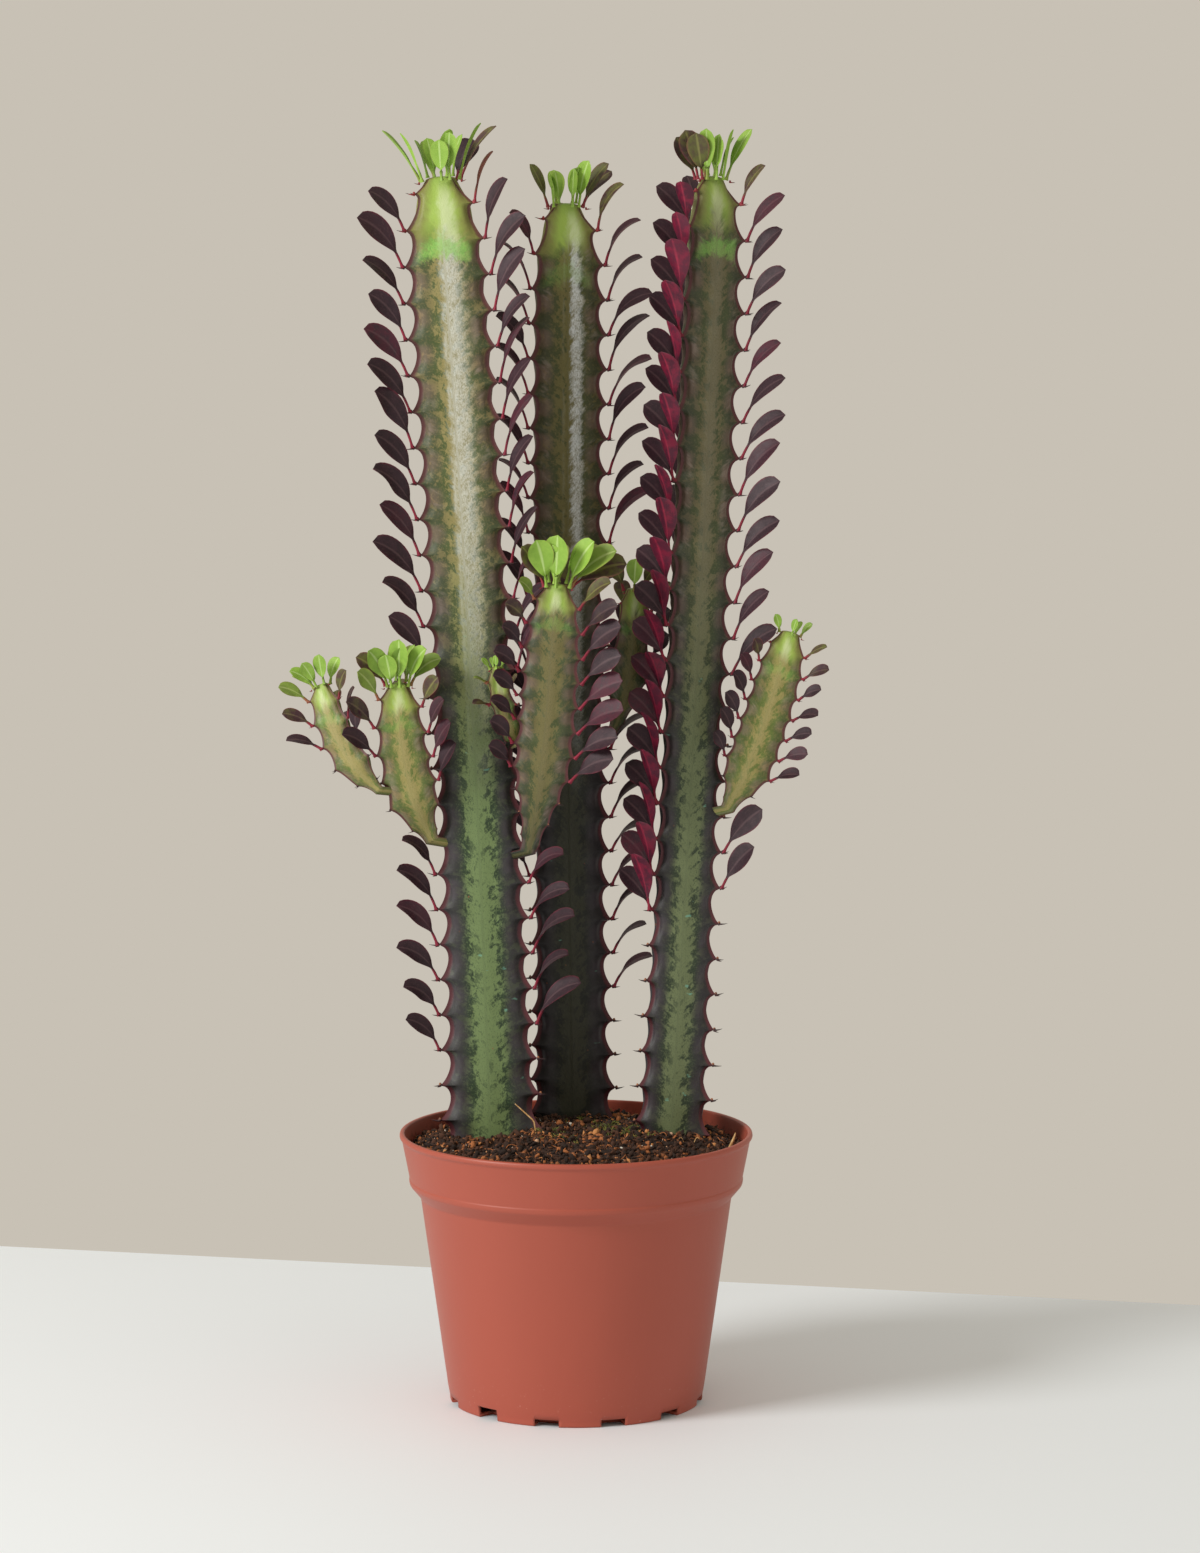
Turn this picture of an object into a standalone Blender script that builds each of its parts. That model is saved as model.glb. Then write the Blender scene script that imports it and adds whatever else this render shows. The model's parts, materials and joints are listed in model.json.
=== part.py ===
"""A three-ribbed red euphorbia of three upright stems and their young branches, in a round plastic
nursery pot of soil.

Run with: blender --background --python part.py
Metres, +Z up. The origin is the centre of the pot's underside, on the surface that it stands on.
+X is the plant's right and -Y its front.
"""

import math
import random

import bmesh
import bpy
from mathutils import Matrix, Vector
from mathutils.bvhtree import BVHTree

GAP = 0.0003  # clearance between two pieces that touch

# The pot: a plain tapering wall under a wider collar, moulded to one thickness
POT_HEIGHT = 0.116
POT_RIM_RADIUS = 0.0755
POT_COLLAR_HEIGHT = 0.022
POT_STEP_HEIGHT = 0.0055  # the sloping shoulder under the collar
POT_COLLAR_RADIUS = 0.0712  # the collar's lower edge
POT_WALL_RADIUS = 0.0665  # the wall's top, under the shoulder
POT_BASE_RADIUS = 0.0542
POT_BASE_CORNER = 0.0022
POT_WALL = 0.0014
POT_FLOOR = 0.0016
POT_LIP = 0.0009  # how far the rounded lip stands out beyond the collar
# The lip's section: how far in from the rim's radius and down from its top, as shares of its size
LIP_SECTION = ((0.0, 0.6), (0.2, 0.1), (0.5, 0.0))
LIP_INNER_EDGE = 0.3
ROUND_SEGMENTS = 48

# Drainage slots through the corner between the floor and the wall
SLOT_COUNT = 12
SLOT_WIDTH = 0.0105
SLOT_HEIGHT = 0.0032
SLOT_REACH = 0.007  # how far each one runs in under the floor
SLOT_START = math.radians(17.0)

# The soil: level at the wall and heaped a little round the stems
SOIL_BELOW_RIM = 0.008  # at the wall
SOIL_HEAP = 0.0072
SOIL_RINGS = 4

# Shape that every ribbed stem shares
RIBS = 3
TOOTH_PHASE = (1 / 3, 2 / 3, 0.0)  # the ribs' teeth follow one spiral
FIRST_TOOTH = 0.0055  # below the growing tip
NOTCH_AT = 0.36  # share of the pitch below a tooth where the notch is deepest
FLANK_ANGLE = math.radians(25.0)  # from a rib's crest to the foot of its flank
FLANK_SHARE = 0.655
CROWN_SHARE = 0.44  # reach at the growing tip
CROWN_LENGTH = 0.70  # how fast the tip widens, in shares of the reach
NECK_SHARE = 0.30  # reach where a branch leaves its rib
NECK_ROOM = 0.003  # length of crest beside a neck that bears no tooth's leaf
NECK_BARE = 0.3  # share of a branch's neck that bears no tooth
NECK_COLLAR = 0.12  # share of a branch's neck that is plain
FOOT_FLARE = 0.06  # how fast a main stem widens towards the soil
AXIS_SAMPLES = 96
SEARCH_STEPS = 40
BURIED = 0.035
COLLAR_ABOVE_SOIL = 0.005
TOOTH_ABOVE_SOIL = 0.009
SOCKET_MOUTH = 0.3  # how far a socket's cutter goes on above the collar, as a share of the foot
# A corner moves out by this many clearances, so that the faces beside it clear by one
CREST_CORNER = 2
FLANK_CORNER = 1.3

# The horny margin along a rib's crest, which carries the leaves
MARGIN = 0.0013
MARGIN_HALF_WIDTH = 0.0006
TOOTH_HALF = 0.0007

# Leaves
LEAF_THICKNESS = 0.0008
LEAF_PETIOLE = 0.0011
LEAF_STATIONS = (0.24, 0.68, 1.0)
LEAF_WIDTHS = (0.18, 1.0, 0.5)  # share of the blade's width at each station
YOUNG_LEAF_WIDTHS = (0.55, 1.0, 0.45)  # the same on a leaf that is still growing
LEAF_FOLD = 0.16  # how far the blade's edges rise above its midrib, as a share of its width
LEAF_TESTED_FROM = 0.14
LEAF_STEPS = 12
LEAF_BEND = 1.25  # above 1, a leaf bends more towards its end
LEAF_TURNED_BY = 0.45  # share of its length by which a leaf has turned to the light
LEAF_STEEPEST = 86  # elevation at a leaf's foot, in degrees
LIGHT = Vector((-0.25, -0.85, 0.46))  # the window that the leaves turn to
# What a leaf that meets a neighbour tries in turn: steeper by, swung aside by, share of its length.
# Its end rises by more than its foot.
LEAF_END_MOVE = 1.6
LEAF_MOVES = (
    (0, 0, 1.0),
    (8, 0, 1.0),
    (0, 14, 1.0),
    (0, -14, 1.0),
    (14, 0, 0.9),
    (6, 28, 0.9),
    (6, -28, 0.9),
    (18, 0, 0.75),
    (10, 40, 0.75),
    (10, -40, 0.75),
    (20, 0, 0.6),
)

# Main stems. foot is the axis at the soil, in shares of the pot's rim radius, and tip its upper end;
# bow is how far the middle stands off the straight line; rib is the azimuth of the first rib at the
# foot, and twist turns the ribs by that much at the tip.
MAIN_STEMS = {
    "left_stem": dict(
        foot=(-0.4636, 0.1325), tip=(-0.0567, 0.010, 0.5190), bow=(0.0026, 0, 0),
        reach=0.0222, foot_reach=0.0262, rib=-30, twist=0, pitch=0.0151, tooth=0.0050,
        ribs=("right", "back", "left"),
    ),
    "middle_stem": dict(
        foot=(-0.0199, 0.5563), tip=(-0.0046, 0.042, 0.5085), bow=(-0.0012, 0, 0),
        reach=0.0202, foot_reach=0.0228, rib=-26, twist=6, pitch=0.0148, tooth=0.0046,
        ribs=("right", "back", "left"),
    ),
    "right_stem": dict(
        foot=(0.5139, 0.1325), tip=(0.0568, 0.012, 0.5195), bow=(0.0012, 0, 0),
        reach=0.0172, foot_reach=0.0196, rib=-30, twist=24, pitch=0.0152, tooth=0.0045,
        ribs=("right", "back", "front"),
    ),
}

# Branches. height is where the neck leaves the parent's rib; reach_out is from the neck to the tip,
# and lift is the middle control point of its curve, counted from the neck.
BRANCHES = {
    "inner_left_branch": dict(
        parent="left_stem", parent_rib="left", height=0.2415,
        reach_out=(-0.0140, -0.0060, 0.0665), lift=(-0.0130, -0.0030, 0.0230),
        reach=0.0142, neck=0.023, rib=-28, twist=0, pitch=0.0112, tooth=0.0030,
        ribs=("right", "back", "left"),
    ),
    "outer_left_branch": dict(
        parent="inner_left_branch", parent_rib="left", height=0.2640,
        reach_out=(-0.0250, 0.0120, 0.0430), lift=(-0.0160, 0.0040, 0.0130),
        reach=0.0098, neck=0.016, rib=-50, twist=0, pitch=0.0098, tooth=0.0023,
        ribs=("front", "back", "left"),
    ),
    "front_bud": dict(
        parent="left_stem", parent_rib="right", height=0.2830,
        reach_out=(-0.0110, -0.0150, 0.0330), lift=(-0.0080, -0.0150, 0.0060),
        reach=0.0066, neck=0.013, rib=-20, twist=0, pitch=0.0085, tooth=0.0018,
        ribs=("right", "back", "left"),
    ),
    "centre_branch": dict(
        parent="left_stem", parent_rib="right", height=0.2370,
        reach_out=(0.0125, -0.0130, 0.1130), lift=(0.0085, -0.0120, 0.0330),
        reach=0.0156, neck=0.044, rib=-34, twist=0, pitch=0.0102, tooth=0.0030,
        ribs=("right", "back", "left"),
    ),
    "rear_branch": dict(
        parent="middle_stem", parent_rib="right", height=0.2840,
        reach_out=(0.0090, -0.0130, 0.0620), lift=(0.0080, -0.0110, 0.0200),
        reach=0.0100, neck=0.026, rib=-15, twist=0, pitch=0.0100, tooth=0.0021,
        ribs=("right", "back", "left"),
    ),
    "right_branch": dict(
        parent="right_stem", parent_rib="right", height=0.2540,
        reach_out=(0.0265, 0.0020, 0.0745), lift=(0.0125, 0.0010, 0.0200),
        reach=0.0128, neck=0.020, rib=-30, twist=0, pitch=0.0088, tooth=0.0022,
        ribs=("right", "back", "left"),
    ),
}

# Rows of leaves: stem, rib, name, lowest and highest tooth that bears a leaf (as heights), the
# leaves' length and width, the elevation that they leave at and end at, how far they turn their
# faces to the light (0 to 1)
LEAF_ROWS = (
    ("left_stem", "left", "upper", 0.315, 0.512, 0.0300, 0.0104, 74, 22, 0.78),
    ("left_stem", "left", "lower", 0.128, 0.236, 0.0250, 0.0090, 72, 8, 0.72),
    ("left_stem", "right", "upper", 0.306, 0.512, 0.0290, 0.0102, 76, 30, 0.60),
    ("left_stem", "right", "lower", 0.158, 0.228, 0.0275, 0.0094, 68, 2, 0.62),
    ("left_stem", "back", "", 0.190, 0.512, 0.0285, 0.0098, 72, 20, 0.0),
    ("middle_stem", "left", "", 0.215, 0.502, 0.0260, 0.0094, 76, 20, 0.50),
    ("middle_stem", "right", "upper", 0.352, 0.502, 0.0290, 0.0096, 78, 10, 0.55),
    ("middle_stem", "right", "lower", 0.158, 0.278, 0.0230, 0.0080, 70, 6, 0.35),
    ("middle_stem", "back", "", 0.180, 0.502, 0.0270, 0.0094, 72, 20, 0.0),
    ("right_stem", "right", "upper", 0.296, 0.513, 0.0275, 0.0100, 72, 24, 0.76),
    ("right_stem", "right", "lower", 0.206, 0.246, 0.0260, 0.0112, 66, 34, 0.85),
    ("right_stem", "front", "", 0.196, 0.513, 0.0250, 0.0112, 80, 52, 0.0),
    ("right_stem", "back", "", 0.215, 0.513, 0.0270, 0.0102, 74, 34, 0.45),
    ("inner_left_branch", "right", "", 0.250, 0.306, 0.0200, 0.0100, 62, 26, 0.85),
    ("inner_left_branch", "left", "", 0.250, 0.306, 0.0190, 0.0094, 62, 20, 0.80),
    ("inner_left_branch", "back", "", 0.256, 0.306, 0.0195, 0.0092, 66, 30, 0.30),
    ("outer_left_branch", "left", "", 0.266, 0.310, 0.0170, 0.0080, 58, 10, 0.80),
    ("outer_left_branch", "front", "", 0.268, 0.310, 0.0160, 0.0076, 62, 18, 0.70),
    ("outer_left_branch", "back", "", 0.268, 0.310, 0.0170, 0.0078, 64, 24, 0.20),
    ("front_bud", "right", "", 0.292, 0.316, 0.0085, 0.0034, 50, 10, 0.60),
    ("front_bud", "left", "", 0.292, 0.316, 0.0095, 0.0036, 40, 8, 0.60),
    ("centre_branch", "right", "", 0.262, 0.348, 0.0245, 0.0110, 56, 14, 0.90),
    ("centre_branch", "left", "", 0.262, 0.348, 0.0150, 0.0085, 60, 10, 0.75),
    ("centre_branch", "back", "", 0.266, 0.348, 0.0225, 0.0100, 66, 26, 0.30),
    ("rear_branch", "right", "", 0.300, 0.344, 0.0215, 0.0098, 52, 10, 0.88),
    ("rear_branch", "back", "", 0.300, 0.344, 0.0195, 0.0088, 62, 24, 0.30),
    ("right_branch", "right", "", 0.256, 0.330, 0.0130, 0.0064, 50, 8, 0.78),
    ("right_branch", "left", "", 0.262, 0.330, 0.0135, 0.0068, 62, 26, 0.75),
    ("right_branch", "back", "", 0.262, 0.330, 0.0130, 0.0060, 60, 20, 0.20),
)
YOUNG_TEETH = 3  # this many teeth under the tip bear leaves that are still growing
YOUNG_SHARE = (0.80, 0.90, 0.96)
YOUNG_LIFT = 50.0  # how much steeper a growing leaf stands, in degrees for its missing share
LENGTH_SPREAD = 0.10
LIFT_SPREAD = 7.0
SWING_SPREAD = 10.0
TURN_SPREAD = 0.16

# The upright young leaves in the middle of a growing tip: how many, their length and width,
# and the azimuth of the first one
CROWNS = {
    "left_stem": (4, 0.0195, 0.0074, -70),
    "middle_stem": (4, 0.0165, 0.0062, -60),
    "right_stem": (4, 0.0180, 0.0068, -115),
    "inner_left_branch": (4, 0.0165, 0.0078, -80),
    "centre_branch": (4, 0.0175, 0.0080, -100),
}
CROWN_LIFT = (84, 62)
CROWN_TURN = 0.15
CROWN_STEEPEST = 88
CROWN_SPREAD = 0.55  # share of the tip's reach at which these leaves stand
CROWN_AZIMUTH_SPREAD = 15
CROWN_TILT_SPREAD = 5
CROWN_SIZE_DROP = 0.16  # how much smaller the last of them is
CROWN_SIZE_SPREAD = 0.04

COLOURS = {
    "pot_plastic": ((0.44, 0.13, 0.085), 0.5),
    "soil": ((0.055, 0.032, 0.02), 0.95),
    "stem_skin": ((0.13, 0.17, 0.07), 0.5),
    "young_stem_skin": ((0.30, 0.36, 0.12), 0.5),
    "leaf_red": ((0.09, 0.035, 0.045), 0.42),
    "leaf_green": ((0.22, 0.45, 0.06), 0.42),
}


def clear_scene():
    for old in list(bpy.data.objects):
        bpy.data.objects.remove(old)


def material(name):
    found = bpy.data.materials.get(name)
    if found:
        return found
    colour, roughness = COLOURS[name]
    made = bpy.data.materials.new(name)
    made.use_nodes = True
    shader = made.node_tree.nodes["Principled BSDF"]
    shader.inputs["Base Color"].default_value = (*colour, 1.0)
    shader.inputs["Roughness"].default_value = roughness
    shader.inputs["Metallic"].default_value = 0.0
    return made


def add_object(name, points, faces, finish, parent, origin=(0, 0, 0), smooth=None):
    """A mesh object of this name from world points, with its own origin at the given place."""
    start = Vector(origin)
    mesh = bpy.data.meshes.new(name)
    mesh.from_pydata([Vector(p) - start for p in points], [], faces)
    work = bmesh.new()
    work.from_mesh(mesh)
    bmesh.ops.recalc_face_normals(work, faces=work.faces)
    work.to_mesh(mesh)
    work.free()
    if smooth is not None:
        mesh.shade_smooth()
        mesh.set_sharp_from_angle(angle=smooth)
    mesh.materials.append(material(finish))
    made = bpy.data.objects.new(name, mesh)
    made.location = start
    made.parent = parent
    bpy.context.scene.collection.objects.link(made)
    return made


def lathe(profile, segments):
    """Points and faces of a profile of (radius, height) turned round Z. Its two ends lie on the axis."""
    points = [(0.0, 0.0, profile[0][1]), (0.0, 0.0, profile[-1][1])]
    ring_starts = []
    for radius, height in profile[1:-1]:
        ring_starts.append(len(points))
        for i in range(segments):
            angle = 2 * math.pi * i / segments
            points.append((radius * math.cos(angle), radius * math.sin(angle), height))
    faces = []
    for i in range(segments):
        j = (i + 1) % segments
        faces.append((0, ring_starts[0] + i, ring_starts[0] + j))
        for low, high in zip(ring_starts, ring_starts[1:]):
            faces.append((low + i, low + j, high + j, high + i))
        faces.append((1, ring_starts[-1] + j, ring_starts[-1] + i))
    return points, faces


def cut(target, cutter):
    """Takes the cutter's shape out of the target, and keeps the cutter out of the model."""
    cutter.hide_render = True
    cutter.display_type = "WIRE"
    boolean = target.modifiers.new("cut_" + cutter.name, "BOOLEAN")
    boolean.operation = "DIFFERENCE"
    boolean.solver = "EXACT"
    boolean.object = cutter


# The pot and its soil


def pot_wall_levels():
    """(height, outer radius) of the wall's corners, from the floor up to the rim."""
    collar_low = POT_HEIGHT - POT_COLLAR_HEIGHT
    return (
        (0.0, POT_BASE_RADIUS),
        (collar_low - POT_STEP_HEIGHT, POT_WALL_RADIUS),
        (collar_low, POT_COLLAR_RADIUS),
        (POT_HEIGHT, POT_RIM_RADIUS - POT_LIP),
    )


def pot_inner_radius(height):
    """Radius of the wall's inside at this height."""
    levels = pot_wall_levels()
    for (low, r_low), (high, r_high) in zip(levels, levels[1:]):
        if height <= high:
            share = (height - low) / (high - low)
            return r_low + (r_high - r_low) * share - POT_WALL
    return levels[-1][1] - POT_WALL


def make_pot(parent):
    levels = pot_wall_levels()
    outer = [(POT_BASE_RADIUS - POT_BASE_CORNER, 0.0), (POT_BASE_RADIUS, POT_BASE_CORNER)]
    outer += [(radius, height) for height, radius in levels[1:-1]]
    bead = POT_LIP + POT_WALL
    outer += [(levels[-1][1], POT_HEIGHT - bead)]
    outer += [(POT_RIM_RADIUS - x * bead, POT_HEIGHT - z * bead) for x, z in LIP_SECTION]
    inner = [(levels[-1][1] - POT_WALL, POT_HEIGHT - LIP_INNER_EDGE * bead)]
    inner += [(pot_inner_radius(height), height) for height, _ in levels[2:0:-1]]
    inner += [(pot_inner_radius(POT_FLOOR), POT_FLOOR)]
    profile = [(0.0, 0.0), *outer, *inner, (0.0, POT_FLOOR)]
    points, faces = lathe(profile, ROUND_SEGMENTS)
    pot = add_object("pot", points, faces, "pot_plastic", parent, smooth=math.radians(30))
    for i in range(SLOT_COUNT):
        cut(pot, slot_cutter(i, parent))
    return pot


def slot_cutter(index, parent):
    """A block across the corner of the floor and the wall."""
    angle = SLOT_START + 2 * math.pi * index / SLOT_COUNT
    inside = POT_BASE_RADIUS - SLOT_REACH
    outside = POT_BASE_RADIUS + POT_WALL
    turn = Matrix.Rotation(angle, 3, "Z")
    points = [
        turn @ Vector((x, y, z))
        for x in (inside, outside)
        for y in (-SLOT_WIDTH / 2, SLOT_WIDTH / 2)
        for z in (-POT_WALL, SLOT_HEIGHT)
    ]
    faces = [(0, 1, 3, 2), (4, 6, 7, 5), (0, 4, 5, 1), (2, 3, 7, 6), (0, 2, 6, 4), (1, 5, 7, 3)]
    return add_object(f"slot_cutter_{index}", points, faces, "pot_plastic", parent)


def soil_edge_height():
    return POT_HEIGHT - SOIL_BELOW_RIM


def soil_height(radius):
    """Height of the soil's surface at this distance from the pot's axis."""
    edge = soil_edge_height()
    share = min(1.0, radius / pot_inner_radius(edge))
    return edge + SOIL_HEAP * (1 - share**2)


def make_soil(parent, stalks):
    edge = soil_edge_height()
    levels = pot_wall_levels()
    corners = [POT_FLOOR + GAP, levels[1][0], levels[2][0], edge]
    side = [(pot_inner_radius(height) - GAP, height) for height in corners]
    radius = side[-1][0]
    rings = [radius * (1 - i / SOIL_RINGS) for i in range(1, SOIL_RINGS)]
    top = [(r, soil_height(r)) for r in rings]
    profile = [(0.0, corners[0]), *side, *top, (0.0, soil_height(0.0))]
    points, faces = lathe(profile, ROUND_SEGMENTS)
    soil = add_object("soil", points, faces, "soil", parent)
    for stalk in stalks:
        if stalk.buried:
            cut(soil, socket_cutter(stalk, parent))
    return soil


def socket_cutter(stalk, parent):
    """The space that a stem's buried foot takes in the soil, with its clearance."""
    collar, end = (stalk.foot_ring(distance, GAP) for distance in stalk.base_rings())
    mouth = [a.lerp(b, -SOCKET_MOUTH) for a, b in zip(collar, end)]
    bottom = [b + (b - a).normalized() * GAP for a, b in zip(collar, end)]
    name = "socket_cutter_" + stalk.name
    return add_object(name, mouth + bottom, tube_faces(2, RIBS * 3), "soil", parent)


# Ribbed stems


def tube_faces(rings, sides):
    """Faces of a closed tube of this many rings, each of this many points, with both ends capped."""
    faces = []
    for ring in range(rings - 1):
        for i in range(sides):
            j = (i + 1) % sides
            low, high = ring * sides, (ring + 1) * sides
            faces.append((low + i, low + j, high + j, high + i))
    faces.append(tuple(range(sides))[::-1])
    faces.append(tuple(range((rings - 1) * sides, rings * sides)))
    return faces


def smooth_step(x):
    x = max(0.0, min(1.0, x))
    return x * x * (3 - 2 * x)


class Stalk:
    """One ribbed stem or branch. Distances along it are counted down from its growing tip."""

    def __init__(self, name, curve, spec, buried=0.0):
        """curve is the three control points of its axis, from its base to its tip."""
        self.name = name
        self.spec = spec
        self.buried = buried
        self.necks = []  # (rib, distance, room) for each branch that grows out of this stalk
        self.reach_full = spec["reach"]
        self.pitch = spec["pitch"]
        self.tooth = spec["tooth"]
        base, middle, tip = (Vector(p) for p in curve)
        shares = [1 - i / (AXIS_SAMPLES - 1) for i in range(AXIS_SAMPLES)]
        self.axis = [
            base * (1 - t) ** 2 + middle * 2 * t * (1 - t) + tip * t**2 for t in shares
        ]
        self.along = [0.0]
        for a, b in zip(self.axis, self.axis[1:]):
            self.along.append(self.along[-1] + (b - a).length)
        self.length = self.along[-1]
        self.ups, self.sides = [], []
        side = Vector((1, 0, 0))
        for i in range(AXIS_SAMPLES):
            a, b = self.axis[max(0, i - 1)], self.axis[min(AXIS_SAMPLES - 1, i + 1)]
            up = (a - b).normalized()
            side = (side - up * side.dot(up)).normalized()
            self.ups.append(up)
            self.sides.append(side)

    def frame(self, distance):
        """(axis point, direction to the tip, direction of azimuth 0) at this distance."""
        last = AXIS_SAMPLES - 2
        place = distance / self.length * (AXIS_SAMPLES - 1)
        low = min(last, max(0, int(place)))
        while low < last and self.along[low + 1] < distance:
            low += 1
        while low > 0 and self.along[low] > distance:
            low -= 1
        share = (distance - self.along[low]) / (self.along[low + 1] - self.along[low])
        centre = self.axis[low].lerp(self.axis[low + 1], share)
        return centre, self.ups[low], self.sides[low]

    def out(self, distance, azimuth):
        """Unit vector away from the axis at this azimuth."""
        _, up, side = self.frame(distance)
        return side * math.cos(azimuth) + up.cross(side) * math.sin(azimuth)

    def point(self, distance, azimuth, radius):
        return self.frame(distance)[0] + self.out(distance, azimuth) * radius

    def rib_angle(self, rib, distance):
        share = 1 - distance / self.length
        return math.radians(self.spec["rib"] + 360 / RIBS * rib + self.spec["twist"] * share)

    def reach(self, distance):
        """How far the ribs' teeth stand from the axis."""
        crown = 1 - math.exp(-max(distance, 0.0) / (CROWN_LENGTH * self.reach_full))
        reach = self.reach_full * (CROWN_SHARE + (1 - CROWN_SHARE) * crown)
        from_base = self.length - distance
        if self.buried:
            extra = self.spec["foot_reach"] - self.reach_full
            return reach + extra * math.exp(-max(from_base - self.buried, 0.0) / FOOT_FLARE)
        neck = smooth_step(from_base / self.spec["neck"])
        return reach * (NECK_SHARE + (1 - NECK_SHARE) * neck)

    def depth(self, distance):
        """How deep the notches between the teeth are."""
        return self.tooth * self.reach(distance) / self.reach_full

    def foot_ring(self, distance, clearance=0.0):
        """The plain buried foot's outline at this distance, with a clearance square to its faces."""
        points = []
        for rib in range(RIBS):
            for part in (-1, 0, 1):
                radius = self.spec["foot_reach"] * FLANK_SHARE + FLANK_CORNER * clearance
                if part == 0:
                    crest = self.spec["foot_reach"] - MARGIN - self.tooth
                    radius = crest + CREST_CORNER * clearance
                azimuth = self.rib_angle(rib, distance) + part * FLANK_ANGLE
                points.append(self.point(distance, azimuth, radius))
        return points

    def teeth_down(self):
        """How many teeth each rib has."""
        spare = self.buried + TOOTH_ABOVE_SOIL if self.buried else NECK_BARE * self.spec["neck"]
        usable = self.length - spare - FIRST_TOOTH - max(TOOTH_PHASE) * self.pitch
        return int(usable / self.pitch)

    def tooth_at(self, rib, index):
        return FIRST_TOOTH + (index + TOOTH_PHASE[rib]) * self.pitch

    def body(self):
        """Points and faces: a closed three-ribbed tube, whose crests step out at each tooth."""
        columns = [(rib, part) for rib in range(RIBS) for part in range(3)]
        rings = [[(0.0, False)] * len(columns)]
        for index in range(self.teeth_down()):
            tooth_ring = [(self.tooth_at(rib, index), False) for rib, _ in columns]
            rings.append(tooth_ring)
            rings.append([(d + NOTCH_AT * self.pitch, True) for d, _ in tooth_ring])
        points = []
        for ring in rings:
            for (rib, part), (distance, notch) in zip(columns, ring):
                if part == 1:
                    radius = self.reach(distance) - MARGIN - (self.depth(distance) if notch else 0)
                else:
                    radius = self.reach(distance) * FLANK_SHARE
                azimuth = self.rib_angle(rib, distance) + (part - 1) * FLANK_ANGLE
                points.append(self.point(distance, azimuth, radius))
        for distance in self.base_rings():
            if self.buried:
                points += self.foot_ring(distance)
                continue
            for rib, part in columns:
                share = 1.0 if part == 1 else FLANK_SHARE
                radius = (self.reach(distance) - MARGIN / 2) * share
                azimuth = self.rib_angle(rib, distance) + (part - 1) * FLANK_ANGLE
                points.append(self.point(distance, azimuth, radius))
        return points, tube_faces(len(points) // len(columns), len(columns))

    def base_rings(self):
        if self.buried:
            return (self.length - self.buried - COLLAR_ABOVE_SOIL, self.length)
        return (self.length - NECK_COLLAR * self.spec["neck"], self.length)


def make_stalks():
    """Every stem and branch, a branch after its parent."""
    stalks = {}
    for name, spec in MAIN_STEMS.items():
        x, y = (share * POT_RIM_RADIUS for share in spec["foot"])
        foot = Vector((x, y, soil_height(math.hypot(x, y)) - BURIED))
        tip = Vector(spec["tip"])
        middle = (foot + tip) / 2 + 2 * Vector(spec["bow"])
        stalks[name] = Stalk(name, (foot, middle, tip), spec, buried=BURIED)
    for name, spec in BRANCHES.items():
        parent = stalks[spec["parent"]]
        rib = parent.spec["ribs"].index(spec["parent_rib"])
        distance = distance_at_height(parent, rib, spec["height"])
        clear = parent.reach(distance) + 2 * GAP
        neck = parent.point(distance, parent.rib_angle(rib, distance), clear)
        middle, tip = neck + Vector(spec["lift"]), neck + Vector(spec["reach_out"])
        stalks[name] = Stalk(name, (neck, middle, tip), spec)
        parent.necks.append((rib, distance, spec["reach"] * NECK_SHARE + NECK_ROOM))
    return stalks


def distance_at_height(stalk, rib, height):
    """Distance below the tip at which the crest of a rib is at this height."""
    low, high = 0.0, stalk.length
    for _ in range(SEARCH_STEPS):
        middle = (low + high) / 2
        crest = stalk.point(middle, stalk.rib_angle(rib, middle), stalk.reach(middle))
        if crest.z > height:
            low = middle
        else:
            high = middle
    return (low + high) / 2


# Leaves


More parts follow.
